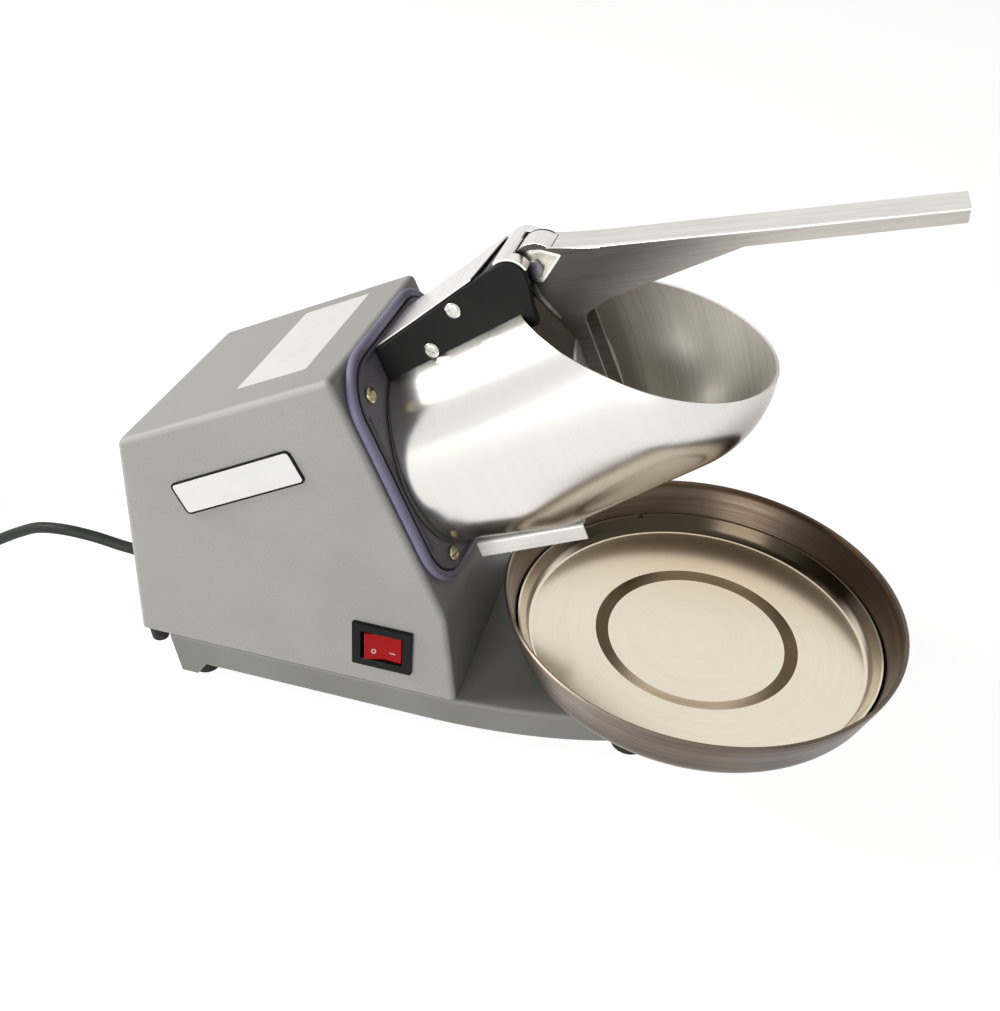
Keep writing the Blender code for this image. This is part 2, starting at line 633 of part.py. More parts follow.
def snow_chamber():
    housing = ring("blade_housing", HOUSING_RADIUS, HOUSING_RADIUS - HOUSING_WALL, RING_LOW,
                   RING_LOW + HOUSING_DEPTH, SLATE, sides=48)
    outlet = box("outlet", (RING_LOW + 0.0015, -OUTLET_WIDTH / 2, -0.08),
                 (RING_LOW + HOUSING_DEPTH - 0.0015, OUTLET_WIDTH / 2, -0.02), SLATE, drive)
    boolean(housing, outlet)
    plate = ring("blade_disc", DISC_RADIUS, SHAFT_RADIUS + GAP, DISC_LOW, DISC_LOW + DISC_THICKNESS, BRUSHED,
                 sides=48)
    blade_low = DISC_LOW + DISC_THICKNESS + GAP
    reach = NUT_RADIUS + 0.0015
    for label, sign in (("upper", 1), ("lower", -1)):
        boolean(plate, box(f"snow_slot_{label}", (DISC_LOW - 0.01, sign * 0.0065 - 0.0020, min(sign * reach,
                           sign * (reach + BLADE_LENGTH))), (DISC_LOW + 0.01, sign * 0.0065 + 0.0020,
                           max(sign * reach, sign * (reach + BLADE_LENGTH))), BRUSHED, drive))
        ends = sorted((sign * reach, sign * (reach + BLADE_LENGTH)))
        blade = box(f"blade_{label}", (blade_low, -BLADE_WIDTH / 2, ends[0]),
                    (blade_low + BLADE_THICKNESS, BLADE_WIDTH / 2, ends[1]), STEEL, drive)
        bevel(blade, 0.0006, 1, 30)
    nut = disc("disc_nut", NUT_RADIUS, blade_low, blade_low + NUT_HEIGHT, BRASS, drive, along="X", sides=6)
    boolean(nut, disc("nut_bore", SHAFT_RADIUS + GAP, 0, 0.04, BRASS, drive, along="X", sides=24))
    return outlet


OUTLET = snow_chamber()


# Hopper: the hull of a round rear end and two balls, cut at the mouth, with a notch for the lever's arms
def mouth_line(out):
    """Height up the slope of the mouth plane at a distance out from the slanted face."""
    x, z = in_machine(out, 0)
    next_x, next_z = in_machine(out, 1)
    return (MOUTH_HEIGHT + MOUTH_SLOPE * (x - MOUTH_X) - z) / (next_z - z - MOUTH_SLOPE * (next_x - x))


MOUTH_TILT = math.atan(mouth_line(1) - mouth_line(0))


def hopper_form(name, grow, raise_mouth, rear):
    bm = bmesh.new()
    for out, up, radius in ((HOPPER_MID_OUT, HOPPER_MID_UP, HOPPER_MID_RADIUS),
                            (HOPPER_FRONT_OUT, HOPPER_FRONT_UP, HOPPER_FRONT_RADIUS)):
        bmesh.ops.create_uvsphere(bm, u_segments=36, v_segments=18, radius=radius + grow,
                                  matrix=Matrix.Translation((out, 0, up)) @ Matrix.Rotation(-MOUTH_TILT, 4, "Y"))
    lift = raise_mouth * Vector((-math.sin(MOUTH_TILT), 0, math.cos(MOUTH_TILT)))
    on_plane = Vector((0, 0, mouth_line(0))) + lift
    bmesh.ops.bisect_plane(bm, geom=bm.verts[:] + bm.edges[:] + bm.faces[:], plane_co=on_plane,
                           plane_no=(-math.sin(MOUTH_TILT), 0, math.cos(MOUTH_TILT)), clear_outer=True)
    turn = Matrix.Translation((0, 0, HOPPER_REAR_DROP)) @ Matrix.Rotation(math.pi / 2, 4, "Y")
    bmesh.ops.create_cone(bm, cap_ends=True, segments=48, radius1=HOPPER_REAR_RADIUS + grow,
                          radius2=HOPPER_REAR_RADIUS + grow, depth=0.012,
                          matrix=Matrix.Translation((rear + 0.006, 0, 0)) @ turn)
    hull = bmesh.ops.convex_hull(bm, input=bm.verts[:])
    loose = [e for e in hull["geom_interior"] + hull["geom_unused"] if isinstance(e, bmesh.types.BMVert)]
    bmesh.ops.delete(bm, geom=list(set(loose)), context="VERTS")
    keep = set(hull["geom"])
    bmesh.ops.delete(bm, geom=[f for f in bm.faces if f not in keep], context="FACES_ONLY")
    bmesh.ops.dissolve_limit(bm, angle_limit=math.radians(0.5), verts=bm.verts[:], edges=bm.edges[:])
    return solid(name, bm, STEEL, drive)


def hopper():
    shell = hopper_form("hopper", 0, 0, HOPPER_REAR)
    boolean(shell, hopper_form("hopper_hollow", -HOPPER_WALL, GAP, HOPPER_REAR - 0.006))
    boolean(shell, OUTLET)
    notch = LEVER_WIDTH / 2 + NOTCH_CLEARANCE
    boolean(shell, box("lip_notch", (NOTCH_OUT, -notch, NOTCH_UP), (PIVOT_OUT + LEVER_HUB, notch, PIVOT_UP),
                       STEEL, drive))
    clear = cutter(hopper_form("hopper_clear", GAP, GAP, HOPPER_REAR - 0.006))
    ring_outer = HOPPER_REAR_RADIUS + RING_WIDTH
    ring_clear = cutter(disc("ring_clear", ring_outer + GAP, 0, HOPPER_REAR, DARK_PAINT, drive, along="X",
                             sides=48))
    seat = ring("hopper_ring", ring_outer, HOUSING_RADIUS + GAP * 2, RING_LOW, HOPPER_REAR - GAP, DARK_PAINT,
                sides=48)
    boolean(seat, OUTLET)
    return clear, ring_clear


HOPPER_CLEAR, RING_CLEAR = hopper()


# Hinge bracket: two black cheeks on the hopper's back, their screws, and the bright cover between
COVER_HALF = CHEEK_OUTER - CHEEK_THICKNESS - GAP


def bracket():
    foot = PLATE_FACE + GAP
    outline = [(foot, CHEEK_LOW), *CHEEK_FRONT]
    outline += arc(CHEEK_EYE, CHEEK_EYE_RADIUS, 5, 110, 6)
    outline += [CHEEK_SLOPE_END, (foot, CHEEK_SEAT)]
    for side_name, sign in (("left", 1), ("right", -1)):
        ends = sorted((sign * (CHEEK_OUTER - CHEEK_THICKNESS), sign * CHEEK_OUTER))
        cheek = flat_outline(f"hinge_cheek_{side_name}", outline, ends[0], ends[1], BLACK_PLASTIC, drive)
        boolean(cheek, HOPPER_CLEAR)
        boolean(cheek, RING_CLEAR)
        for label, out, up in CHEEK_SCREWS:
            heads = sorted((sign * (CHEEK_OUTER + GAP), sign * (CHEEK_OUTER + GAP + CHEEK_SCREW_HEAD)))
            screw = disc(f"cheek_screw_{label}_{side_name}", CHEEK_SCREW_RADIUS, heads[0], heads[1], STEEL,
                         drive, location=(out, 0, up), along="Y", sides=16)
            deep = sign * (CHEEK_OUTER + GAP + CHEEK_SCREW_HEAD)
            boolean(screw, disc(f"socket_{label}_{side_name}", 0.0016, deep - 0.0008, deep + 0.0008, STEEL,
                                drive, location=(out, 0, up), along="Y", sides=6))
    top = [(foot, CHEEK_SEAT - 0.001), *COVER_TOP]
    under = [(top[-1][0], top[-1][1] - COVER_DEPTH), COVER_UNDER, (foot, CHEEK_SEAT - 0.012)]
    cover = flat_outline("hinge_cover", top + under, -COVER_HALF, COVER_HALF, STEEL, drive)
    inner_top = [(out, up - COVER_WALL) for out, up in top]
    inner = [(-0.01, inner_top[0][1] - 0.004)] + inner_top + [(0.1, inner_top[-1][1] + 0.004), (0.1, 0.03),
                                                              (-0.01, 0.03)]
    boolean(cover, flat_outline("cover_hollow", inner, COVER_WALL - COVER_HALF, COVER_HALF - COVER_WALL,
                                STEEL, drive))
    pivot = (PIVOT_OUT, PIVOT_UP)
    lug = arc(pivot, LUG_RADIUS, -100, 150, 12)
    lug += LUG_ROOT
    boolean(cover, flat_outline("hinge_lug", lug, -LUG_HALF_WIDTH, LUG_HALF_WIDTH, STEEL, drive), "UNION")
    boolean(cover, disc("lug_hole", PIN_RADIUS + GAP, -0.02, 0.02, STEEL, drive,
                        location=(PIVOT_OUT, 0, PIVOT_UP), along="Y"))
    boolean(cover, HOPPER_CLEAR)
    half = LEVER_WIDTH / 2
    turned("hinge_pin",
           [(0, half + 0.0010), (PIN_RADIUS, half + 0.0010), (PIN_RADIUS, -half - GAP),
            (PIN_HEAD_RADIUS, -half - GAP), (PIN_HEAD_RADIUS, -half - GAP - PIN_HEAD), (0, -half - GAP - PIN_HEAD)],
           STEEL, drive, (PIVOT_OUT, 0, PIVOT_UP), (-math.pi / 2, 0, 0), 24)
    nut = disc("hinge_nut", PIN_HEAD_RADIUS, half + GAP, half + GAP + PIN_HEAD, STEEL, drive,
               (PIVOT_OUT, 0, PIVOT_UP), "Y", 6)
    boolean(nut, disc("hinge_nut_bore", PIN_RADIUS + GAP, 0, 0.02, STEEL, drive, (PIVOT_OUT, 0, PIVOT_UP), "Y", 24))


bracket()


# Lever: one folded channel whose deep side flanges hang into the hopper and carry the presser
def lever():
    run = LEVER_TIP_X - PIVOT_X
    rise = LEVER_TIP_Z - PIVOT_Z

    def local(x, z):
        return x - PIVOT_X, z - PIVOT_Z

    outline = [(-0.0075, 0.0075), local(*LEVER_SHOULDER), (run, rise), (run + 0.0006, rise - LEVER_TIP_DEPTH)]
    outline += [local(*place_at) for place_at in LEVER_UNDER]
    arm = [(ARM_OUT + ARM_CORNER * 0.8, ARM_CORNER_UP - ARM_CORNER * 0.08), (ARM_OUT, ARM_CORNER_UP - ARM_CORNER),
           (ARM_OUT, PRESSER_UP - ARM_REACH), (PRESSER_OUT + GAP, PRESSER_UP - ARM_REACH),
           (PRESSER_OUT + GAP, PRESSER_UP + PRESSER_RADIUS + 0.001)]
    outline += [local(*in_machine(*place_at)) for place_at in arm]
    outline += arc((0, 0), LEVER_HUB, -60 - math.degrees(SLOPE), -215, 8)
    half = LEVER_WIDTH / 2
    arm = flat_outline("lever_arm", outline, -half, half, STEEL, lever_pivot)
    lowered = [(-0.03, 0.03), (LEVER_WEB_START, 0.03), (LEVER_WEB_START, 0.0065)]
    lowered += [(x, z - LEVER_WALL * 1.05) for x, z in (local(*LEVER_SHOULDER), (run, rise))]
    lowered += [(run + 0.02, rise - LEVER_WALL + 0.005), (run + 0.02, -0.15), (-0.03, -0.15)]
    boolean(arm, flat_outline("lever_hollow", lowered, LEVER_WALL - half, half - LEVER_WALL, STEEL,
                              lever_pivot))
    boolean(arm, disc("lever_hole", LEVER_HOLE, -0.02, 0.02, STEEL, lever_pivot, along="Y", sides=24))
    presser = disc("presser_plate", PRESSER_RADIUS, PRESSER_OUT - PRESSER_THICKNESS, PRESSER_OUT, STEEL, drive,
                   location=(0, 0, PRESSER_UP), along="X", sides=40)
    return arm, presser


lever()


# Snow guide: a bright hood below the hopper that covers the chamber's outlet
def snow_guide():
    guide = box("snow_guide", (HOOD_REAR, -HOOD_HALF_WIDTH, HOOD_TOP - HOOD_DEPTH),
                (HOOD_REAR + HOOD_LENGTH, HOOD_HALF_WIDTH, HOOD_TOP), STEEL, drive)
    boolean(guide, box("guide_hollow", (HOOD_REAR - 0.01, HOOD_WALL - HOOD_HALF_WIDTH, HOOD_TOP - 0.05),
                       (HOOD_REAR + HOOD_LENGTH + 0.01, HOOD_HALF_WIDTH - HOOD_WALL, HOOD_TOP - HOOD_WALL),
                       STEEL, drive))


snow_guide()


# Tray stand with its pad, the pan and the lift-out insert
def tray():
    top = TRAY_BOTTOM_Z - GAP - PAD_HEIGHT - GAP
    foot = CASE_BOTTOM + GAP
    turned("tray_stand",
           [(STAND_RADIUS, top), (STAND_RADIUS + 0.002, foot + STAND_WALL), (STAND_FOOT, foot + STAND_WALL),
            (STAND_FOOT, foot), (STAND_RADIUS + 0.002 - STAND_WALL, foot),
            (STAND_RADIUS - STAND_WALL, top - STAND_WALL), (0.020, top - STAND_WALL), (0.020, top)],
           DARK_PAINT, location=(STAND_X, 0, 0), sides=40)
    turned("tray_pad",
           [(PAD_RADIUS, top + GAP + PAD_HEIGHT), (PAD_RADIUS, top + GAP), (PAD_RADIUS - PAD_WIDTH, top + GAP),
            (PAD_RADIUS - PAD_WIDTH, top + GAP + PAD_HEIGHT)], RUBBER, location=(STAND_X, 0, 0), sides=32)
    bead = TRAY_WALL * 0.9
    inner_low = TRAY_BOTTOM_RADIUS - TRAY_WALL
    pan = [(TRAY_RADIUS - bead, TRAY_RIM_Z), (TRAY_RADIUS, TRAY_RIM_Z - bead),
           (TRAY_RADIUS - 0.0005, TRAY_RIM_Z - 0.004)]
    pan += [(TRAY_BOTTOM_RADIUS + 0.0045, TRAY_BOTTOM_Z + 0.0075), (TRAY_BOTTOM_RADIUS, TRAY_BOTTOM_Z + 0.0022),
            (TRAY_BOTTOM_RADIUS - 0.0050, TRAY_BOTTOM_Z), (0, TRAY_BOTTOM_Z), (0, TRAY_BOTTOM_Z + TRAY_WALL)]
    pan += [(inner_low - 0.0045, TRAY_BOTTOM_Z + TRAY_WALL), (inner_low, TRAY_BOTTOM_Z + 0.0032),
            (inner_low + 0.0043, TRAY_BOTTOM_Z + 0.0085), (TRAY_RADIUS - TRAY_WALL - 0.0008, TRAY_RIM_Z - 0.004),
            (TRAY_RADIUS - TRAY_WALL - bead, TRAY_RIM_Z - bead)]
    turned("tray_pan", pan, BRUSHED, location=(TRAY_X, 0, 0), sides=72)
    floor = TRAY_BOTTOM_Z + TRAY_WALL + GAP + INSERT_WALL + RECESS_DEPTH
    under = floor - INSERT_WALL
    low = floor - RECESS_DEPTH
    insert = [(INSERT_RADIUS, INSERT_RIM_Z), (INSERT_RADIUS - 0.0035, under + 0.003),
              (INSERT_RADIUS - 0.0065, under), (RECESS_RADIUS, under),
              (RECESS_RADIUS - RECESS_SLOPE, low - INSERT_WALL), (0, low - INSERT_WALL), (0, low),
              (RECESS_RADIUS - RECESS_SLOPE - 0.0002, low), (RECESS_RADIUS - 0.0002, floor),
              (INSERT_RADIUS - 0.0070, floor), (INSERT_RADIUS - 0.0046, floor + 0.003),
              (INSERT_RADIUS - INSERT_WALL, INSERT_RIM_Z)]
    turned("tray_insert", insert, BRUSHED, location=(TRAY_X, 0, 0), sides=72)


tray()


# Rocker switch in the near side wall
def switch():
    face = -HALF_WIDTH - GAP
    half_length = SWITCH_LENGTH / 2
    half_height = SWITCH_HEIGHT / 2
    body = box("switch_bezel", (-half_length, face - SWITCH_BEZEL, -half_height),
               (half_length, face, half_height), BLACK_PLASTIC, location=(SWITCH_X, 0, SWITCH_Z))
    tail_length = half_length - SWITCH_FRAME
    tail_height = half_height - SWITCH_FRAME
    boolean(body, box("switch_tail", (-tail_length, face - 0.001, -tail_height),
                      (tail_length, face + SWITCH_DEPTH, tail_height), BLACK_PLASTIC,
                      location=(SWITCH_X, 0, SWITCH_Z)), "UNION")
    well_length = tail_length - 0.0014
    well_height = tail_height - 0.0014
    boolean(body, box("switch_well", (-well_length, face - 0.02, -well_height),
                      (well_length, face + 0.010, well_height), BLACK_PLASTIC,
                      location=(SWITCH_X, 0, SWITCH_Z)))
    rocker_length = well_length - 0.0015
    rocker_height = well_height - 0.0005
    pivot = empty("rocker_pivot", machine, (SWITCH_X, face + 0.0045, SWITCH_Z))
    swing = math.radians(ROCKER_TILT)
    front = -(SWITCH_BEZEL + 0.0048)
    outline = [(-rocker_length, 0.0015), (rocker_length, 0.0015), (rocker_length, front + 0.0005),
               (0, front + 0.0022), (-rocker_length, front + 0.0005)]
    rocker = flat_outline("switch_rocker", outline, -rocker_height, rocker_height, RED_PLASTIC, pivot,
                          side_view=False)
    rocker.rotation_euler = (0, 0, swing)
    return rocker


switch()


# Blank plate on the near side
def side_plate():
    outline = rounded_rectangle(-BADGE_HALF_LENGTH, BADGE_HALF_LENGTH, -BADGE_HALF_HEIGHT, BADGE_HALF_HEIGHT,
                                BADGE_CORNER, 3)
    badge = flat_outline("side_plate", outline, 0, BADGE_THICKNESS, BLANK_PLATE, side_view=False)
    badge.rotation_euler = (math.pi / 2, -math.radians(BADGE_TILT), 0)
    badge.location = (BADGE_X, -HALF_WIDTH - GAP, BADGE_Z)


side_plate()


# Mains lead: gland, free stretch, stored coil and plug
ROUTE = [(-0.0255, -0.0200, GLAND_Z), (-0.0380, -0.0200, 0.0465), (-0.0550, -0.0210, 0.0495),
         (-0.0740, -0.0225, 0.0510), (-0.0920, -0.0220, 0.0475), (-0.1080, -0.0200, 0.0385),
         (-0.1260, -0.0185, 0.0265), (-0.1450, -0.0200, 0.0140), (-0.1650, -0.0270, 0.0065),
         (-0.1850, -0.0360, 0.0040), (-0.2030, -0.0392, 0.0038), (-0.2144, -0.0392, 0.0038)]


def smooth(points, spacing):
    """Points at even spacing on a smooth curve through the route's own points."""
    fine = []
    padded = [2 * Vector(points[0]) - Vector(points[1])] + [Vector(p) for p in points]
    padded.append(2 * Vector(points[-1]) - Vector(points[-2]))
    for before, start, end, after in zip(padded, padded[1:], padded[2:], padded[3:]):
        for step in range(20):
            t = step / 20
            fine.append(0.5 * (2 * start + (end - before) * t + (2 * before - 5 * start + 4 * end - after) * t ** 2
                               + (3 * start - before - 3 * end + after) * t ** 3))
    fine.append(Vector(points[-1]))
    kept = [fine[0]]
    walked = 0.0
    for start, end in zip(fine, fine[1:]):
        walked += (end - start).length
        if walked >= spacing:
            kept.append(end)
            walked = 0.0
    if (kept[-1] - fine[-1]).length < spacing * 0.5:
        kept.pop()
    kept.append(fine[-1])
    return kept


def coil_points():
    """Loops that spiral in on the surface, climb one layer, and spiral out again to the plug."""
    total = 2 * COIL_TURNS
    count = int(total * COIL_POINTS)
    points = []
    for step in range(count + 1):
        turn = step * total / count
        inward = min(turn, total - turn)
        radius = COIL_OUTER - COIL_PITCH * inward
        climb = min(1.0, max(0.0, (turn - COIL_TURNS + 0.25) / 0.5))
        height = CORD_RADIUS + GAP + COIL_PITCH * climb
        angle = -math.pi / 2 - math.tau * turn
        points.append(Vector((COIL_X + radius * math.cos(angle), COIL_Y + radius * math.sin(angle), height)))
    return points


def least_gap(points, diameter):
    """The least clear distance between turns of one tube."""
    least = 1.0
    near = COIL_POINTS // 3
    for i, first in enumerate(points):
        for second in points[i + near:]:
            least = min(least, (first - second).length - diameter)
    return least


def lead():
    turned("cord_gland",
           [(GLAND_RADIUS, GAP), (GLAND_RADIUS, 0.003), (GLAND_RADIUS - 0.0015, 0.004),
            (CORD_RADIUS + 0.0012, GLAND_LENGTH - 0.0008), (CORD_RADIUS + 0.0004, GLAND_LENGTH - 0.0008),
            (CORD_RADIUS + 0.0004, GAP)],
           RUBBER, location=(0, GLAND_Y, GLAND_Z), rotation=(0, -math.pi / 2, 0), sides=24)
    free = smooth(ROUTE, CORD_RADIUS * 4)
    tube("power_cord", free, CORD_RADIUS, RUBBER)
    loops = coil_points()
    start = loops[0]
    exit_way = (loops[-1] - loops[-2]).normalized()
    exit_way.z = 0
    loops = [start + Vector((CORD_RADIUS * 2, 0, 0))] + loops + [loops[-1] + exit_way * STUB_LENGTH]
    tube("cord_coil", loops, CORD_RADIUS, RUBBER, resolution=1)
    print("coil: least gap to itself", round(least_gap(coil_points(), CORD_RADIUS * 2) * 1000, 2), "mm")
    length = sum((b - a).length for a, b in zip(free, free[1:]))
    length += sum((b - a).length for a, b in zip(loops, loops[1:]))
    print("cord: length", round(length, 3), "m")
    plug(loops[-1], exit_way)


def plug(entry, way):
    heading = math.atan2(way.y, way.x)
    middle = entry.z
    holder = empty("plug_axis", machine, entry + way * GAP, (0, 0, heading))
    body = box("plug_body", (0.012, -PLUG_WIDTH / 2, -middle + GAP * 2), (PLUG_LENGTH, PLUG_WIDTH / 2, middle),
               RUBBER, holder)
    bevel(body, 0.004, 2, 30)
    boolean(body, turned("plug_tail", [(0, 0.014), (0.0075, 0.014), (CORD_RADIUS + 0.0010, 0), (0, 0)], RUBBER,
                         holder, rotation=(0, math.pi / 2, 0), sides=16), "UNION")
    for label, sign in (("left", 1), ("right", -1)):
        disc(f"plug_pin_{label}", PLUG_PIN_RADIUS, PLUG_LENGTH + GAP, PLUG_LENGTH + PIN_LENGTH, BRASS, holder,
             location=(0, sign * PIN_SPACING / 2, 0), along="X", sides=16)


lead()

for obj in parts.objects:
    if obj.type == "MESH" and not any(m.type == "BOOLEAN" for m in obj.modifiers):
        for face in obj.data.polygons:
            face.use_smooth = len(obj.data.polygons) > 60
        obj.data.set_sharp_from_angle(angle=math.radians(35))
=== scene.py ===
# %% [markdown]
# An electric ice crusher for a worktop. A slanted grey casing holds the motor, a bright steel hopper
# lies on its front, a hinged lever presses the ice down, and the crushed ice falls into a round tray.
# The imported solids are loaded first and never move. Everything below dresses them.

# %% The fixed frame
import math

import bmesh
import bpy
from mathutils import Matrix, Vector


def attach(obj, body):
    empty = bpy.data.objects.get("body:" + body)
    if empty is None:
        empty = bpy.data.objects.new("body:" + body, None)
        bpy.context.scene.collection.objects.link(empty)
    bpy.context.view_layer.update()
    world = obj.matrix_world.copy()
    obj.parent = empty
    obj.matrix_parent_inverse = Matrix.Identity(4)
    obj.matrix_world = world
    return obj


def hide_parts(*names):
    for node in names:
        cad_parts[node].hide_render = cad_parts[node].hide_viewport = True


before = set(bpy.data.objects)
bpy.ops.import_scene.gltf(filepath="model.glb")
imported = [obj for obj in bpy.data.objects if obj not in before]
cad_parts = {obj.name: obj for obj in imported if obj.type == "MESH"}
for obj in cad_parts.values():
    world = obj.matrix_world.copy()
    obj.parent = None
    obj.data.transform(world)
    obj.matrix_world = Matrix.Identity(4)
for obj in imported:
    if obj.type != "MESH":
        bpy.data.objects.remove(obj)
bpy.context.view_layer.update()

# %% [markdown]
# Two sets of directions are handy. Most places are measured from the casing's rear wall. What sits
# square to the slanted front is modelled flat around the origin, with X pointing out of the slanted
# face and Z running up it, and is carried to its place at the end.

# %% Places and directions
REAR = -0.2145
SLOPE = math.atan2(0.065, 0.135)
DRIVE_X = REAR + 0.119 + math.sin(SLOPE) * 0.0765
DRIVE_Z = 0.222 - math.cos(SLOPE) * 0.0765
TO_DRIVE = Matrix.Translation((DRIVE_X, 0, DRIVE_Z)) @ Matrix.Rotation(-SLOPE, 4, "Y")


def from_rear(x, y, z):
    """A place measured from the casing's rear wall."""
    return Vector((REAR + x, y, z))


PIVOT = TO_DRIVE @ Vector((0.0987, 0, 0.0856))
print("lever hinge at", [round(value, 4) for value in PIVOT])

# %% [markdown]
# The camera looks down at the switch side, turned a little towards the tray, and it was held slightly
# askew. A matrix made of its right, up and back directions says all of that in one go.

# %% Camera
azimuth, elevation, roll = (math.radians(angle) for angle in (10.9, 33.5, 5.3))
back = Vector((math.sin(azimuth) * math.cos(elevation), -math.cos(azimuth) * math.cos(elevation),
               math.sin(elevation)))
level_right = (-back).cross(Vector((0, 0, 1))).normalized()
level_up = level_right.cross(-back)
right = math.cos(roll) * level_right + math.sin(roll) * level_up
up = math.cos(roll) * level_up - math.sin(roll) * level_right
camera_data = bpy.data.cameras.new("camera")
camera_data.sensor_width = 36
camera_data.sensor_fit = "HORIZONTAL"
camera_data.lens = 41.73
camera_data.shift_x = -0.0207
camera_data.shift_y = -0.0514
camera_data.clip_start = 0.01
camera = bpy.data.objects.new("camera", camera_data)
camera.matrix_world = Matrix((right, up, back)).transposed().to_4x4()
camera.location = from_rear(0.2002, 0.0171, 0.1464) + back * 0.6525
bpy.context.scene.collection.objects.link(camera)
bpy.context.scene.camera = camera
print("camera", round((camera.location - PIVOT).length, 3), "m from the hinge")

# %% [markdown]
# The mains lead leaves a strain relief in the rear wall, rises a little, sinks to the worktop and
# ends in a neat coil behind the machine. The coil spirals in on the surface, climbs one layer and
# spirals out again, so that its turns lie on each other and the plug comes out at the rim.

# %% Route of the mains lead
CORD_RADIUS = 0.0035
ROUTE = [(-0.0255, -0.0200, 0.0455), (-0.0380, -0.0200, 0.0465), (-0.0550, -0.0210, 0.0495),
         (-0.0740, -0.0225, 0.0510), (-0.0920, -0.0220, 0.0475), (-0.1080, -0.0200, 0.0385),
         (-0.1260, -0.0185, 0.0265), (-0.1450, -0.0200, 0.0140), (-0.1650, -0.0270, 0.0065),
         (-0.1850, -0.0360, 0.0040), (-0.2030, -0.0392, 0.0038), (-0.2144, -0.0392, 0.0038)]
COIL_CENTRE = (-0.2220, 0.0108)
COIL_OUTER, COIL_PITCH, COIL_TURNS = 0.0500, 0.0078, 2.5


def smooth_route(points, steps):
    """Extra points on a smooth curve through the route's own points."""
    ends = [2 * points[0] - points[1], *points, 2 * points[-1] - points[-2]]
    fine = []
    for before, start, end, after in zip(ends, ends[1:], ends[2:], ends[3:]):
        for step in range(steps):
            t = step / steps
            fine.append(0.5 * (2 * start + (end - before) * t
                               + (2 * before - 5 * start + 4 * end - after) * t ** 2
                               + (3 * start - before - 3 * end + after) * t ** 3))
    return fine + [points[-1]]


def coil_place(turn):
    """A place on the coil after a number of turns."""
    inward = min(turn, 2 * COIL_TURNS - turn)
    across = COIL_OUTER - COIL_PITCH * inward
    climb = min(1.0, max(0.0, (turn - COIL_TURNS + 0.25) / 0.5))
    angle = -math.pi / 2 - math.tau * turn
    return from_rear(COIL_CENTRE[0] + across * math.cos(angle), COIL_CENTRE[1] + across * math.sin(angle),
                     CORD_RADIUS + 0.0003 + COIL_PITCH * climb)


lead_points = smooth_route([from_rear(*place) for place in ROUTE], 5)
coil = [coil_place(step * 2 * COIL_TURNS / 240) for step in range(241)]
plug_way = (coil[-1] - coil[-2]).normalized()
plug_way.z = 0
lead_points += coil + [coil[-1] + plug_way * 0.015, coil[-1] + plug_way * 0.030]

# %% [markdown]
# A round cable is a curve with a bevel depth, which keeps its thickness through every bend. The depth is
# multiplied by each point's radius, and that radius also widens the curve's own box, so the thickness is
# written there. The curve stays a curve, because its own line is then the cable's centre line.

# %% The mains lead itself
lead_curve = bpy.data.curves.new("mains_lead", "CURVE")
lead_curve.dimensions = "3D"
lead_curve.bevel_depth = 1.0
lead_curve.bevel_resolution = 5
lead_curve.use_fill_caps = True
spline = lead_curve.splines.new("POLY")
spline.points.add(len(lead_points) - 1)
for point, place in zip(spline.points, lead_points):
    point.co = (*place, 1)
    point.radius = CORD_RADIUS
spline.use_smooth = True
mains_lead = bpy.data.objects.new("mains_lead", lead_curve)
bpy.context.scene.collection.objects.link(mains_lead)
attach(mains_lead, "base")
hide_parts("power_cord", "cord_coil")
print("mains lead made")

# %% [markdown]
# Modelling by hand means: select nothing, select the one piece, open it in edit mode, select some
# faces, edges or points, and use a tool on them. These few helpers do that, and choose the selection
# by place and direction instead of by clicking.

# %% Helpers for modelling by hand
def rest():
    """Leaves edit mode and selects nothing."""
    if bpy.context.mode != "OBJECT":
        bpy.ops.object.mode_set(mode="OBJECT")
    bpy.ops.object.select_all(action="DESELECT")


def only(piece):
    """Makes a piece the one selected and active object."""
    rest()
    piece.select_set(True)
    bpy.context.view_layer.objects.active = piece


def settle(piece):
    """Moves a piece's place, turn and scale into its mesh."""
    only(piece)
    bpy.ops.object.transform_apply(location=True, rotation=True, scale=True)


def pick(piece, kind, test):
    """Opens a piece with the faces, edges or points selected whose place and direction pass a test."""
    only(piece)
    bpy.ops.object.mode_set(mode="EDIT")
    bpy.ops.mesh.select_mode(type=kind)
    bpy.ops.mesh.select_all(action="DESELECT")
    mesh = bmesh.from_edit_mesh(piece.data)
    mesh.normal_update()
    if kind == "FACE":
        items = [(face, face.calc_center_median(), face.normal) for face in mesh.faces]
    elif kind == "EDGE":
        items = [(edge, (edge.verts[0].co + edge.verts[1].co) / 2,
                  (edge.verts[1].co - edge.verts[0].co).normalized()) for edge in mesh.edges]
    else:
        items = [(point, point.co, point.normal) for point in mesh.verts]
    chosen = [item for item, place, way in items if test(place, way)]
    assert chosen, piece.name + ": nothing passes the test"
    for item in chosen:
        item.select_set(True)
    mesh.select_flush_mode()
    bmesh.update_edit_mesh(piece.data)


def everything(place, way):
    return True


def name_it(piece, name):
    piece.name = name
    piece.data.name = name
    return piece


def block(name, low, high):
    """A cube stretched between two corners, to be shaped further."""
    rest()
    low, high = Vector(low), Vector(high)
    bpy.ops.mesh.primitive_cube_add(size=1, location=(low + high) / 2)
    piece = name_it(bpy.context.object, name)
    piece.scale = high - low
    settle(piece)
    return piece


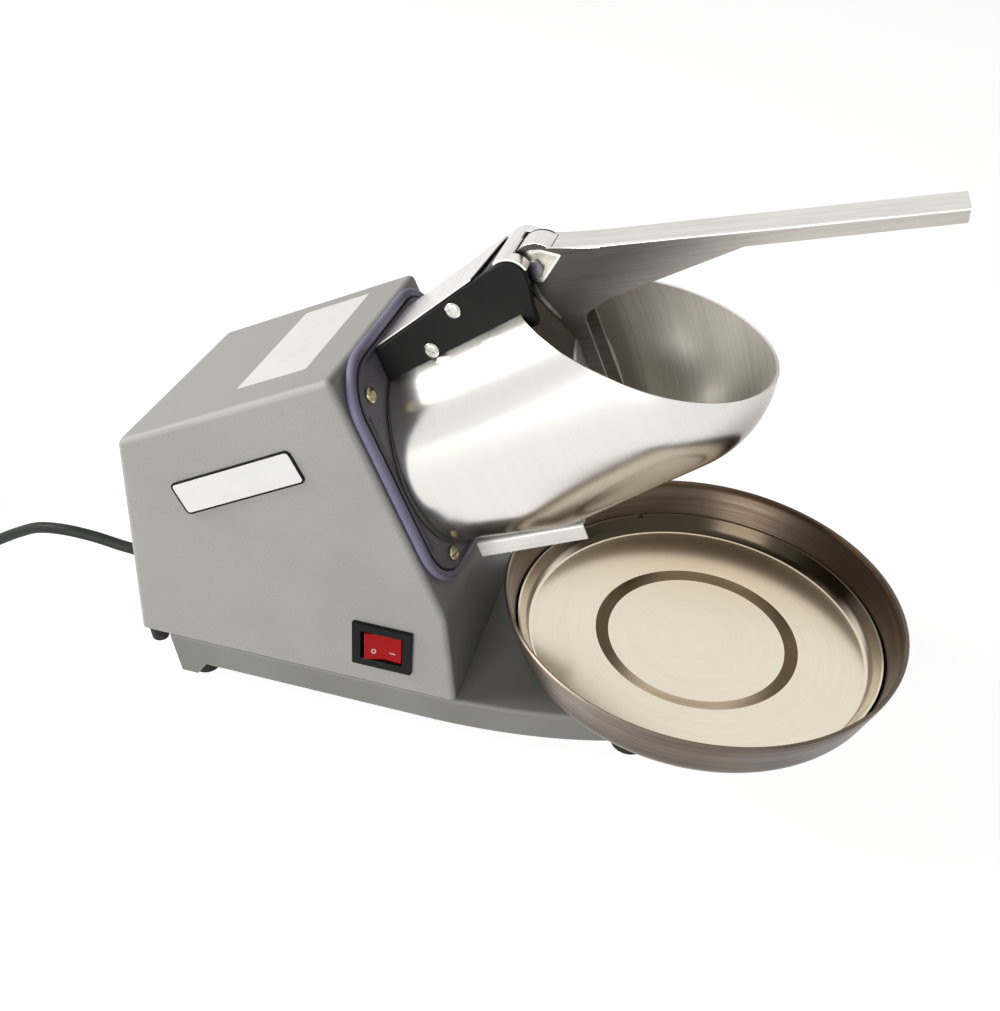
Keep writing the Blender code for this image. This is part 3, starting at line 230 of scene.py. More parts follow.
def rod(name, radius, low, high, along="Z", sides=64, at=(0, 0, 0)):
    """A cylinder between two heights on one axis, to be shaped further."""
    rest()
    turn = {"Z": (0, 0, 0), "X": (0, math.pi / 2, 0), "Y": (-math.pi / 2, 0, 0)}[along]
    middle = {"Z": Vector((0, 0, 1)), "X": Vector((1, 0, 0)), "Y": Vector((0, 1, 0))}[along] * (low + high) / 2
    bpy.ops.mesh.primitive_cylinder_add(vertices=sides, radius=radius, depth=abs(high - low),
                                        location=Vector(at) + middle, rotation=turn)
    piece = name_it(bpy.context.object, name)
    settle(piece)
    return piece


def drawn(name, places, edges=(), faces=()):
    """A new piece from a few points, to be pulled or spun into shape."""
    mesh = bpy.data.meshes.new(name)
    mesh.from_pydata(places, edges, faces)
    piece = bpy.data.objects.new(name, mesh)
    bpy.context.scene.collection.objects.link(piece)
    return piece


def pull(piece, kind, across):
    """Pulls a drawn line or outline across the machine."""
    pick(piece, kind, everything)
    bpy.ops.mesh.extrude_region_move(TRANSFORM_OT_translate={"value": (0, across, 0)})
    bpy.ops.mesh.select_all(action="SELECT")
    bpy.ops.mesh.normals_make_consistent(inside=False)
    rest()


def drop(piece, test):
    """Deletes the faces that pass a test."""
    pick(piece, "FACE", test)
    bpy.ops.mesh.delete(type="FACE")
    rest()


def trim(piece, point, way, fill=True):
    """Cuts a piece at a plane and clears what lies on the side that the direction points to."""
    pick(piece, "FACE", everything)
    bpy.ops.mesh.bisect(plane_co=point, plane_no=way, use_fill=fill, clear_outer=True)
    rest()


def soften(piece, width, segments, test):
    """Bevels the edges that pass a test."""
    pick(piece, "EDGE", test)
    bpy.ops.mesh.bevel(offset=width, segments=segments, affect="EDGES")
    rest()


def shape(piece, kind, **settings):
    """Adds a modifier, sets it up and applies it."""
    only(piece)
    bpy.ops.object.modifier_add(type=kind)
    made = piece.modifiers[-1]
    for key, value in settings.items():
        setattr(made, key, value)
    bpy.ops.object.modifier_apply(modifier=made.name)


def sheet(piece, thickness, **more):
    """Gives an open skin the thickness of a sheet, inwards."""
    shape(piece, "SOLIDIFY", thickness=thickness, offset=-1, use_even_offset=True, **more)


def round_edges(piece, width, segments, angle):
    """Bevels every edge that is sharper than an angle in degrees."""
    shape(piece, "BEVEL", width=width, segments=segments, limit_method="ANGLE", angle_limit=math.radians(angle))


def cut(piece, tool, operation="DIFFERENCE"):
    """Cuts a piece with another, or joins them, and clears the tool away."""
    shape(piece, "BOOLEAN", object=tool, operation=operation, solver="EXACT")
    bpy.data.objects.remove(tool)


def to_drive(piece):
    """Carries a piece that was modelled flat to the slanted front."""
    piece.matrix_world = TO_DRIVE @ piece.matrix_world
    settle(piece)
    return piece


def copy_of(piece, name):
    """A copy with its own mesh."""
    made = piece.copy()
    made.data = piece.data.copy()
    bpy.context.scene.collection.objects.link(made)
    return name_it(made, name)


def solid_copy(node):
    """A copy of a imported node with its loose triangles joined, as a start for a finer piece."""
    made = bpy.data.objects.new(node + "_finish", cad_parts[node].data.copy())
    made.data.materials.clear()
    bpy.context.scene.collection.objects.link(made)
    pick(made, "VERT", everything)
    bpy.ops.mesh.remove_doubles(threshold=0.000002)
    bpy.ops.mesh.dissolve_limited(angle_limit=math.radians(0.3))
    rest()
    return made


print("helpers ready")

# %% [markdown]
# Bowls, rings, screws and feet are turned shapes. A profile of a few points is drawn on one side of
# the axis, its corners are rounded with a point bevel, and the spin tool sweeps it once round.

# %% Turning a profile
def turned(name, profile, corners=(), sides=96, closed=True):
    """Spins a profile of (radius, height) about Z. Corners are (point number, rounding, segments)."""
    ends = list(range(len(profile)))
    edges = list(zip(ends, ends[1:])) + ([(ends[-1], 0)] if closed else [])
    piece = drawn(name, [(radius, 0, height) for radius, height in profile], edges)
    for number, width, segments in corners:
        spot = Vector((profile[number][0], 0, profile[number][1]))
        pick(piece, "VERT", lambda place, way: (place - spot).length < 0.000001)
        bpy.ops.mesh.bevel(offset=width, segments=segments, affect="VERTICES")
        rest()
    pick(piece, "VERT", everything)
    bpy.ops.mesh.spin(steps=sides, angle=math.tau, center=(0, 0, 0), axis=(0, 0, 1))
    bpy.ops.mesh.select_all(action="SELECT")
    bpy.ops.mesh.remove_doubles(threshold=0.000005)
    bpy.ops.mesh.normals_make_consistent(inside=False)
    rest()
    return piece


print("turning ready")

# %% [markdown]
# A material starts from the Principled shader. Patterns that several materials share are built once
# as node groups with named sockets, and a material only gives its own colours and scales.

# %% Helpers for nodes
def tone(red, green, blue):
    """A colour given on a 0 to 255 scale, as the linear values that Blender mixes."""
    return tuple((value / 255 / 12.92 if value <= 10 else ((value / 255 + 0.055) / 1.055) ** 2.4)
                 for value in (red, green, blue)) + (1.0,)


def add(tree, kind, settings=None, **sockets):
    """Adds a node; sockets take a value or another node's output."""
    made = tree.nodes.new(kind)
    for key, value in (settings or {}).items():
        setattr(made, key, value)
    for key, value in sockets.items():
        plug(tree, made.inputs[key.replace("_", " ")], value)
    return made


def plug(tree, socket, value):
    if isinstance(value, bpy.types.NodeSocket):
        tree.links.new(value, socket)
    else:
        socket.default_value = value


def maths(tree, operation, first, second=0.0, clamp=False):
    made = add(tree, "ShaderNodeMath", {"operation": operation, "use_clamp": clamp})
    plug(tree, made.inputs[0], first)
    plug(tree, made.inputs[1], second)
    return made.outputs[0]


def blend(tree, share, first, second, way="MIX"):
    made = add(tree, "ShaderNodeMix", {"data_type": "RGBA", "blend_type": way})
    plug(tree, made.inputs[0], share)
    plug(tree, made.inputs[6], first)
    plug(tree, made.inputs[7], second)
    return made.outputs[2]


def spread(tree, value, low, high, new_low=0.0, new_high=1.0):
    made = add(tree, "ShaderNodeMapRange", {"interpolation_type": "SMOOTHSTEP"}, Value=value, From_Min=low,
               From_Max=high, To_Min=new_low, To_Max=new_high)
    return made.outputs["Result"]


def scaled(tree, vector, scale):
    made = add(tree, "ShaderNodeVectorMath", {"operation": "MULTIPLY"})
    plug(tree, made.inputs[0], vector)
    plug(tree, made.inputs[1], scale)
    return made.outputs[0]


def noise(tree, vector, scale, detail=2.0, roughness=0.5):
    return add(tree, "ShaderNodeTexNoise", None, Vector=vector, Scale=scale, Detail=detail,
               Roughness=roughness).outputs["Fac"]


def group(name, inputs, outputs):
    """A new node group with named sockets."""
    made = bpy.data.node_groups.new(name, "ShaderNodeTree")
    for label, kind, value in inputs:
        socket = made.interface.new_socket(label, in_out="INPUT", socket_type="NodeSocket" + kind)
        if value is not None:
            socket.default_value = value
    for label, kind in outputs:
        made.interface.new_socket(label, in_out="OUTPUT", socket_type="NodeSocket" + kind)
    return made, made.nodes.new("NodeGroupInput").outputs, made.nodes.new("NodeGroupOutput").inputs


print("node helpers ready")

# %% [markdown]
# Sprayed paint is never one flat colour. Under a lens it has fine dark and light specks, the soft
# ripple that painters call orange peel, and broad patches where it was sprayed a little thicker.

# %% Group: sprayed paint
sprayed, got, give = group("sprayed_paint", [("Vector", "Vector", None), ("Colour", "Color", (0.5, 0.5, 0.5, 1)),
                                             ("Speck", "Color", (0.2, 0.2, 0.2, 1)), ("Speck Share", "Float", 0.3),
                                             ("Grain", "Float", 900.0)],
                           [("Colour", "Color"), ("Roughness", "Float"), ("Height", "Float")])
fine = noise(sprayed, got["Vector"], got["Grain"], 2.0, 0.6)
peel = noise(sprayed, got["Vector"], 420.0, 1.0)
patch = noise(sprayed, got["Vector"], 14.0, 3.0, 0.55)
specks = maths(sprayed, "MULTIPLY", spread(sprayed, fine, 0.56, 0.72), got["Speck Share"])
lighter = blend(sprayed, spread(sprayed, patch, 0.3, 0.7, 0.0, 0.16), got["Colour"],
                blend(sprayed, 0.4, got["Colour"], (1, 1, 1, 1)))
sprayed.links.new(blend(sprayed, specks, lighter, got["Speck"]), give["Colour"])
sprayed.links.new(spread(sprayed, patch, 0.3, 0.7, 0.42, 0.56), give["Roughness"])
sprayed.links.new(maths(sprayed, "ADD", maths(sprayed, "MULTIPLY", peel, 0.7), maths(sprayed, "MULTIPLY", fine, 0.3)),
                  give["Height"])
print("group:", sprayed.name)

# %% [markdown]
# Paint wears thin where a sheet is folded. The Bevel node gives the normal as it would be with rounded
# edges, so where it differs from the true normal there is an edge. A noise breaks the line up.

# %% Group: worn edges
worn, got, give = group("worn_edges", [("Vector", "Vector", None), ("Width", "Float", 0.0015)], [("Mask", "Float")])
rounded = add(worn, "ShaderNodeBevel", {"samples": 4}, Radius=got["Width"]).outputs["Normal"]
true_normal = add(worn, "ShaderNodeNewGeometry").outputs["Normal"]
difference = add(worn, "ShaderNodeVectorMath", {"operation": "DOT_PRODUCT"})
worn.links.new(rounded, difference.inputs[0])
worn.links.new(true_normal, difference.inputs[1])
edge = spread(worn, difference.outputs["Value"], 0.999, 0.93)
broken = spread(worn, noise(worn, got["Vector"], 160.0, 4.0, 0.7), 0.42, 0.62)
worn.links.new(maths(worn, "MULTIPLY", edge, broken), give["Mask"])
print("group:", worn.name)

# %% [markdown]
# Brushed steel carries thousands of hair lines in one direction. Noise that is stretched a hundred
# times along one axis gives the lines, a second one gives broad dull streaks, and the same lines
# change the colour, the roughness and the height a little.

# %% Group: brushed lines
brushed, got, give = group("brushed_lines", [("Stretched", "Vector", None), ("Plain", "Vector", None),
                                             ("Bright", "Color", (0.8, 0.8, 0.8, 1)),
                                             ("Dull", "Color", (0.6, 0.6, 0.6, 1)), ("Roughness", "Float", 0.25),
                                             ("Roughness Spread", "Float", 0.1)],
                           [("Colour", "Color"), ("Roughness", "Float"), ("Height", "Float")])
hair = noise(brushed, got["Stretched"], 1.0, 3.0, 0.7)
streak = noise(brushed, scaled(brushed, got["Stretched"], (0.12, 0.12, 0.12)), 1.0, 2.0)
cloud = noise(brushed, got["Plain"], 22.0, 3.0, 0.6)
mixed = maths(brushed, "ADD", maths(brushed, "MULTIPLY", hair, 0.5),
              maths(brushed, "ADD", maths(brushed, "MULTIPLY", streak, 0.3), maths(brushed, "MULTIPLY", cloud, 0.2)))
brushed.links.new(blend(brushed, spread(brushed, mixed, 0.38, 0.62), got["Dull"], got["Bright"]), give["Colour"])
swing = maths(brushed, "MULTIPLY", maths(brushed, "SUBTRACT", 0.5, mixed), maths(brushed, "MULTIPLY",
                                                                                got["Roughness Spread"], 4.0))
brushed.links.new(maths(brushed, "ADD", got["Roughness"], swing, clamp=True), give["Roughness"])
brushed.links.new(hair, give["Height"])
print("group:", brushed.name)

# %% [markdown]
# A turned or spun bowl is brushed round and round. For it the coordinates are changed first: the
# distance from the axis and the height vary fast across the lines, and the way round varies slowly.

# %% Group: round the axis
around, got, give = group("round_the_axis", [("Vector", "Vector", None), ("Across", "Float", 1500.0),
                                             ("Along", "Float", 3.0)], [("Vector", "Vector")])
parts_of = add(around, "ShaderNodeSeparateXYZ", None, Vector=got["Vector"]).outputs
squares = maths(around, "ADD", maths(around, "MULTIPLY", parts_of["X"], parts_of["X"]),
                maths(around, "MULTIPLY", parts_of["Y"], parts_of["Y"]))
distance = maths(around, "SQRT", squares)
unit_x = maths(around, "DIVIDE", parts_of["X"], maths(around, "MAXIMUM", distance, 0.0005))
unit_y = maths(around, "DIVIDE", parts_of["Y"], maths(around, "MAXIMUM", distance, 0.0005))
depth = maths(around, "MULTIPLY", maths(around, "ADD", distance, parts_of["Z"]), got["Across"])
joined = add(around, "ShaderNodeCombineXYZ", None, X=maths(around, "MULTIPLY", unit_x, got["Along"]),
             Y=maths(around, "MULTIPLY", unit_y, got["Along"]), Z=depth)
around.links.new(joined.outputs[0], give["Vector"])
print("group:", around.name)

# %% [markdown]
# Anything that is handled gets dull finger marks and a little dust. One soft noise in two sizes gives
# a number that raises the roughness here and there.

# %% Group: finger marks
handled, got, give = group("finger_marks", [("Vector", "Vector", None), ("Size", "Float", 40.0),
                                            ("Low", "Float", 0.2), ("High", "Float", 0.4)],
                           [("Roughness", "Float"), ("Mask", "Float")])
marks = noise(handled, got["Vector"], got["Size"], 4.0, 0.6)
mask = spread(handled, marks, 0.42, 0.68)
reach = maths(handled, "MULTIPLY", mask, maths(handled, "SUBTRACT", got["High"], got["Low"]))
handled.links.new(maths(handled, "ADD", got["Low"], reach), give["Roughness"])
handled.links.new(mask, give["Mask"])
print("group:", handled.name)

# %% [markdown]
# Moulded plastic and rubber have a fine grain from the mould. Small cells of a Voronoi texture look
# like it, and a faint grey bloom lies on old rubber.

# %% Group: moulded grain
moulded, got, give = group("moulded_grain", [("Vector", "Vector", None), ("Colour", "Color", (0.1, 0.1, 0.1, 1)),
                                             ("Bloom", "Color", (0.3, 0.3, 0.3, 1)), ("Bloom Share", "Float", 0.2),
                                             ("Cells", "Float", 1200.0)],
                           [("Colour", "Color"), ("Height", "Float")])
cells = add(moulded, "ShaderNodeTexVoronoi", None, Vector=got["Vector"], Scale=got["Cells"]).outputs["Distance"]
bloom = spread(moulded, noise(moulded, got["Vector"], 55.0, 5.0, 0.65), 0.4, 0.75)
moulded.links.new(blend(moulded, maths(moulded, "MULTIPLY", bloom, got["Bloom Share"]), got["Colour"], got["Bloom"]),
                  give["Colour"])
moulded.links.new(cells, give["Height"])
print("group:", moulded.name)


# %% [markdown]
# With the groups at hand, a finish is a short recipe. Each recipe below makes one material for this
# machine, and the numbers are its own.

# %% Recipes for finishes
def start_material(name, roughness, metallic=0.0):
    made = bpy.data.materials.new(name)
    made.use_nodes = True
    tree = made.node_tree
    shader = tree.nodes["Principled BSDF"]
    shader.inputs["Roughness"].default_value = roughness
    shader.inputs["Metallic"].default_value = metallic
    place = add(tree, "ShaderNodeTexCoord").outputs["Object"]
    return made, tree, shader.inputs, place


def use(tree, shared, **sockets):
    """Places a shared group in a material with its own values."""
    made = tree.nodes.new("ShaderNodeGroup")
    made.node_tree = shared
    for key, value in sockets.items():
        plug(tree, made.inputs[key.replace("_", " ")], value)
    return made.outputs


def bump(tree, inputs, height, strength, distance):
    made = add(tree, "ShaderNodeBump", None, Height=height, Strength=strength, Distance=distance)
    tree.links.new(made.outputs["Normal"], inputs["Normal"])


def painted(name, colour, speck, share, grain, wear, strength=0.25, shine=0.35):
    made, tree, inputs, place = start_material(name, 0.5)
    inputs["Specular IOR Level"].default_value = shine
    paint = use(tree, sprayed, Vector=place, Colour=colour, Speck=speck, Speck_Share=share, Grain=grain)
    edges = use(tree, worn, Vector=place, Width=0.0014)["Mask"]
    tree.links.new(blend(tree, maths(tree, "MULTIPLY", edges, 0.55), paint["Colour"], wear), inputs["Base Color"])
    tree.links.new(paint["Roughness"], inputs["Roughness"])
    bump(tree, inputs, paint["Height"], strength, 0.0002)
    return made


def brush(tree, inputs, place, stretched, bright, dull, roughness, rough_spread, strength):
    """Joins brushed lines to a shader."""
    lines = use(tree, brushed, Stretched=stretched, Plain=place, Bright=bright, Dull=dull, Roughness=roughness,
                Roughness_Spread=rough_spread)
    tree.links.new(lines["Colour"], inputs["Base Color"])
    tree.links.new(lines["Roughness"], inputs["Roughness"])
    bump(tree, inputs, lines["Height"], strength, 0.00005)


def steel(name, bright, dull, roughness, rough_spread, stretch, turn=(0, 0, 0), strength=0.12, metallic=1.0):
    """Steel brushed in straight lines; turn lays the lines along the piece."""
    made, tree, inputs, place = start_material(name, roughness, metallic)
    turned_place = add(tree, "ShaderNodeMapping", None, Vector=place, Rotation=turn).outputs[0]
    brush(tree, inputs, place, scaled(tree, turned_place, stretch), bright, dull, roughness, rough_spread, strength)
    return made


def shade_towards(material, direction, start, end, shade):
    """Paints shade into a finish's colour along a direction, from a place where it is full to one where it is gone."""
    tree = material.node_tree
    inputs = tree.nodes["Principled BSDF"].inputs
    place = add(tree, "ShaderNodeTexCoord").outputs["Object"]
    along = add(tree, "ShaderNodeVectorMath", {"operation": "DOT_PRODUCT"})
    plug(tree, along.inputs[0], place)
    plug(tree, along.inputs[1], direction)
    share = spread(tree, along.outputs["Value"], start, end, 1.0, 0.0)
    before = inputs["Base Color"].links[0].from_socket
    tree.links.new(blend(tree, share, before, blend(tree, 1.0, before, shade, "MULTIPLY")), inputs["Base Color"])


def spun_steel(name, bright, dull, roughness, rough_spread, centre, across=1500.0, strength=0.12):
    """Steel brushed round an upright axis through a centre."""
    made, tree, inputs, place = start_material(name, roughness, 1.0)
    move = add(tree, "ShaderNodeVectorMath", {"operation": "SUBTRACT"})
    plug(tree, move.inputs[0], place)
    plug(tree, move.inputs[1], centre)
    rings = use(tree, around, Vector=move.outputs[0], Across=across, Along=2.5)["Vector"]
    brush(tree, inputs, place, rings, bright, dull, roughness, rough_spread, strength)
    return made


def moulding(name, colour, bloom_colour, share, low, high, cell_count=1200.0, strength=0.2, coat=0.0, shine=0.2):
    made, tree, inputs, place = start_material(name, low)
    inputs["Specular IOR Level"].default_value = shine
    grain = use(tree, moulded, Vector=place, Colour=colour, Bloom=bloom_colour, Bloom_Share=share, Cells=cell_count)
    touch = use(tree, handled, Vector=place, Size=45.0, Low=low, High=high)
    tree.links.new(grain["Colour"], inputs["Base Color"])
    tree.links.new(touch["Roughness"], inputs["Roughness"])
    bump(tree, inputs, grain["Height"], strength, 0.0001)
    inputs["Coat Weight"].default_value = coat
    return made


print("recipes ready")

# %% [markdown]
# The machine's finishes: warm light grey satin paint on the casing, a darker grey on the base, slate coating on the
# front casting, and the steels, from the mirror-like hopper to the dull brown tray. The tray's brown is partly its own
# tone and partly painted dark reflection, and several finishes below carry painted shade and reflection.

# %% Finishes of the machine
CASE_GREY = painted("case_grey", tone(170, 168, 164), tone(116, 114, 110), 0.35, 1500.0, tone(205, 203, 198))
BASE_GREY = painted("base_grey", tone(132, 132, 127), tone(100, 101, 98), 0.35, 1500.0, tone(176, 176, 172))
# shadow_grey is painted shade: a near-black paint for parts that are seen only in shadow.
SHADOW_GREY = painted("shadow_grey", tone(48, 49, 46), tone(34, 35, 33), 0.4, 1300.0, tone(86, 86, 82), shine=0.2)
SLATE = painted("slate_coating", tone(86, 84, 92), tone(48, 47, 52), 0.5, 1100.0, tone(110, 108, 114), 0.5, 0.35)
SEAL_VIOLET = moulding("seal_violet", tone(130, 127, 153), tone(140, 138, 154), 0.35, 0.38, 0.58, 900.0, 0.15)
DRIVE_TURN = (0, SLOPE, 0)
LEVER_TURN = (0, math.radians(18.6), 0)
ROUND_DRIVE = (1500, 14, 14)
HOPPER_OUTSIDE = steel("hopper_outside", tone(226, 223, 219), tone(223, 220, 215), 0.2, 0.03, ROUND_DRIVE,
                       DRIVE_TURN, 0.03)
# The hopper's outside is painted darker towards its lowest line: painted reflection of the tray and painted shade under
# the hopper.
HOPPER_SHADE_WAY = TO_DRIVE.to_3x3() @ Vector((-0.267, 0, 0.964))
shade_towards(HOPPER_OUTSIDE, HOPPER_SHADE_WAY, HOPPER_SHADE_WAY.dot(TO_DRIVE @ Vector((0.065, 0, -0.054))),
              HOPPER_SHADE_WAY.dot(TO_DRIVE @ Vector((0.065, 0, -0.022))), (0.26, 0.22, 0.18, 1))
HOPPER_INSIDE = steel("hopper_inside", tone(238, 233, 226), tone(216, 209, 200), 0.36, 0.1, ROUND_DRIVE,
                      DRIVE_TURN, metallic=0.4)
LEVER_STEEL = steel("lever_steel", tone(226, 223, 218), tone(208, 204, 197), 0.32, 0.1, (14, 1400, 1400),
                    LEVER_TURN)
# The flange finish is a darker copy of the lever's steel, which is painted shade, and it is darker still near the
# hinge, fading towards the nose and down the arms, more painted shade.
FLANGE_PAINTED_SHADE = steel("flange_painted_shade", tone(172, 168, 161), tone(150, 146, 139), 0.42, 0.1, (14, 1400, 1400),
                     LEVER_TURN, 0.15)
shade_towards(FLANGE_PAINTED_SHADE, (1, 0, -0.9), -0.234, -0.158, (0.18, 0.175, 0.165, 1))
COVER_STEEL = steel("cover_steel", tone(236, 234, 230), tone(218, 215, 210), 0.24, 0.08, (1200, 14, 1200), strength=0.08)
GUIDE_STEEL = steel("guide_steel", tone(252, 250, 247), tone(243, 240, 235), 0.4, 0.08, (14, 1400, 1400),
                    DRIVE_TURN, 0.1, 0.2)
TRAY_CENTRE = from_rear(0.316, 0, 0)
# The pan's dull brown is partly its own tone and partly painted dark reflection. It also gets painted shade on the far
# side and lower down.
PAN_STEEL = spun_steel("pan_steel", tone(152, 138, 126), tone(120, 108, 98), 0.36, 0.12, TRAY_CENTRE, 1600.0)
shade_towards(PAN_STEEL, (0, 1, 0), 0.095, 0.030, (0.66, 0.64, 0.62, 1))
shade_towards(PAN_STEEL, (0.30, 0, -1), -0.052, -0.078, (0.52, 0.49, 0.46, 1))
# The plate's cream tint is painted reflection, and it turns tan towards the far side, more painted reflection.
INSERT_STEEL = spun_steel("insert_steel", tone(230, 221, 202), tone(227, 217, 198), 0.2, 0.02, TRAY_CENTRE,
                          strength=0.015)
shade_towards(INSERT_STEEL, (0, 1, 0), 0.095, -0.010, (0.88, 0.78, 0.66, 1))
# The recess ring is browner than the plate and darker at its two sides and its far side: painted shade and reflection
# in the recess.
RECESS_PAINTED_SHADE = spun_steel("recess_painted_shade", tone(196, 180, 154), tone(176, 158, 130), 0.3, 0.06, TRAY_CENTRE,
                        strength=0.05)
shade_towards(RECESS_PAINTED_SHADE, (1, 0, 0), TRAY_CENTRE.x - 0.046, TRAY_CENTRE.x - 0.020, (0.20, 0.17, 0.14, 1))
shade_towards(RECESS_PAINTED_SHADE, (-1, 0, 0), -TRAY_CENTRE.x - 0.050, -TRAY_CENTRE.x - 0.018, (0.22, 0.19, 0.15, 1))
shade_towards(RECESS_PAINTED_SHADE, (0, 1, 0), 0.050, 0.010, (0.34, 0.30, 0.25, 1))
# The plate's wall turns almost black on the far side: painted shade and reflection on its inner face.
LIP_PAINTED_SHADE = spun_steel("lip_painted_shade", tone(226, 217, 199), tone(218, 208, 190), 0.22, 0.04, TRAY_CENTRE,
                       strength=0.03)
shade_towards(LIP_PAINTED_SHADE, (0, 1, 0), 0.060, 0.030, (0.07, 0.06, 0.05, 1))
BRIGHT_STEEL = steel("bright_steel", tone(222, 220, 215), tone(190, 187, 181), 0.2, 0.08, (300, 300, 300), strength=0.1)
DARK_ZINC = steel("dark_zinc", tone(134, 131, 138), tone(92, 89, 94), 0.34, 0.12, (400, 400, 400), strength=0.15)
HINGE_STEEL = steel("hinge_steel", tone(206, 200, 190), tone(150, 143, 132), 0.36, 0.14, (160, 160, 160), strength=0.2)
BLADE_STEEL = steel("blade_steel", tone(215, 214, 212), tone(180, 178, 175), 0.22, 0.08, (1500, 20, 1500), strength=0.1)
PLATED_BRASS = steel("plated_brass", tone(182, 170, 134), tone(140, 128, 98), 0.3, 0.1, (600, 600, 600), strength=0.2)
CAST_ALLOY = painted("cast_alloy", tone(168, 168, 166), tone(120, 120, 118), 0.6, 700.0, tone(205, 205, 203), 0.6)
CORE_IRON = painted("core_iron", tone(70, 70, 74), tone(48, 48, 50), 0.6, 900.0, tone(110, 110, 112), 0.5)
CHEEK_BLACK = moulding("cheek_black", tone(27, 27, 27), tone(54, 54, 54), 0.12, 0.45, 0.6, 1500.0, 0.25, shine=0.12)
SWITCH_BLACK = moulding("switch_black", tone(20, 19, 20), tone(46, 45, 45), 0.12, 0.36, 0.5, 1500.0, 0.15, shine=0.12)
RUBBER_BLACK = moulding("rubber_black", tone(40, 40, 39), tone(88, 86, 82), 0.25, 0.6, 0.8, 1000.0, 0.3)
CORD_BLACK = moulding("cord_black", tone(38, 41, 37), tone(72, 74, 68), 0.2, 0.45, 0.62, 1400.0, 0.15)
ROCKER_RED = moulding("rocker_red", tone(172, 6, 10), tone(188, 28, 32), 0.25, 0.2, 0.34, 900.0, 0.03, 0.05, 0.12)
MARK_WHITE = moulding("mark_white", tone(240, 226, 224), tone(220, 190, 188), 0.2, 0.4, 0.5, 900.0, 0.05)
PLATE_PALE = moulding("plate_pale", tone(246, 246, 244), tone(232, 232, 230), 0.4, 0.3, 0.42, 1300.0, 0.05)
LABEL_WHITE = moulding("label_white", tone(248, 247, 243), tone(236, 235, 230), 0.4, 0.42, 0.55, 1500.0, 0.04)
print("finishes:", len(bpy.data.materials))

# %% [markdown]
# The studio is plain: a pale floor, an even white surround that metal also sees, one large soft lamp
# low on the switch side, and one from behind the rear wall, higher up, which leaves the slanted front
# and the base in shade. The surround and the floor show more light than they give, through the Light
# Path node, so that paint keeps its colour and the shadow stays soft.

# %% Studio
def seen_rays(tree):
    """1 where the camera, a reflection or a clear material looks, and 0 where light only falls."""
    rays = add(tree, "ShaderNodeLightPath").outputs
    return maths(tree, "MAXIMUM", maths(tree, "MAXIMUM", rays["Is Camera Ray"], rays["Is Glossy Ray"]),
                 rays["Is Transmission Ray"])


rest()
bpy.ops.mesh.primitive_plane_add(size=14, location=(0, 0, -0.0004))
floor = name_it(bpy.context.object, "floor")
floor_material = bpy.data.materials.new("floor")
floor_material.use_nodes = True
tree = floor_material.node_tree
floor_shader = tree.nodes["Principled BSDF"].inputs
floor_shader["Base Color"].default_value = (0.4, 0.4, 0.4, 1)
floor_shader["Roughness"].default_value = 0.9
floor_shader["Specular IOR Level"].default_value = 0.0
floor_shader["Emission Color"].default_value = (1, 1, 1, 1)
tree.links.new(maths(tree, "MULTIPLY", seen_rays(tree), 0.9), floor_shader["Emission Strength"])
floor.data.materials.append(floor_material)

world = bpy.data.worlds.new("surround")
bpy.context.scene.world = world
world.use_nodes = True
tree = world.node_tree
surround = tree.nodes["Background"].inputs
surround["Color"].default_value = (1.0, 1.0, 1.0, 1)
tree.links.new(maths(tree, "ADD", maths(tree, "MULTIPLY", seen_rays(tree), 0.93), 0.07), surround["Strength"])


def soft_lamp(name, location, target, size, power, colour=(1, 1, 1)):
    data = bpy.data.lights.new(name, "AREA")
    data.size = size
    data.energy = power
    data.color = colour
    lamp = bpy.data.objects.new(name, data)
    lamp.location = location
    lamp.rotation_euler = (Vector(target) - Vector(location)).to_track_quat("-Z", "Y").to_euler()
    bpy.context.scene.collection.objects.link(lamp)
    return lamp


soft_lamp("side_lamp", (-0.5, -2.2, 0.55), (0, 0, 0.1), 1.2, 36)
soft_lamp("top_lamp", (-1.6, -0.3, 1.2), (0, 0, 0.1), 0.8, 26, (1.0, 0.975, 0.94))
bpy.context.scene.view_settings.view_transform = "Standard"
print("studio ready")


# %% [markdown]
# Every finished piece goes through the same last steps: normals outwards, smooth shading that keeps
# sharp corners, weighted normals so that flat faces stay flat beside a rounded edge, its finish, the
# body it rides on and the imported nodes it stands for.

# %% Finishing a piece
def finish(piece, name, materials, body, stands_for=(), angle=35, keep_normals=False):
    if not keep_normals:
        pick(piece, "FACE", everything)
        bpy.ops.mesh.normals_make_consistent(inside=False)
        rest()
    name_it(piece, name)
    only(piece)
    bpy.ops.object.shade_smooth_by_angle(angle=math.radians(angle))
    shape(piece, "WEIGHTED_NORMAL", keep_sharp=True, weight=60)
    if not piece.data.materials:
        for material in materials:
            piece.data.materials.append(material)
    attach(piece, body)
    if stands_for:
        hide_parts(*stands_for)
    print("piece:", name, len(piece.data.polygons), "faces")
    return piece


print("finishing ready")

# %% [markdown]
# The casing is one bent steel sheet: two upright sides, a sloping top, a slanted front for the motor
# and a short front face below. A cube is trimmed by planes to that outline, its folds are rounded,
# the open underside is removed and Solidify gives the sheet its thickness.

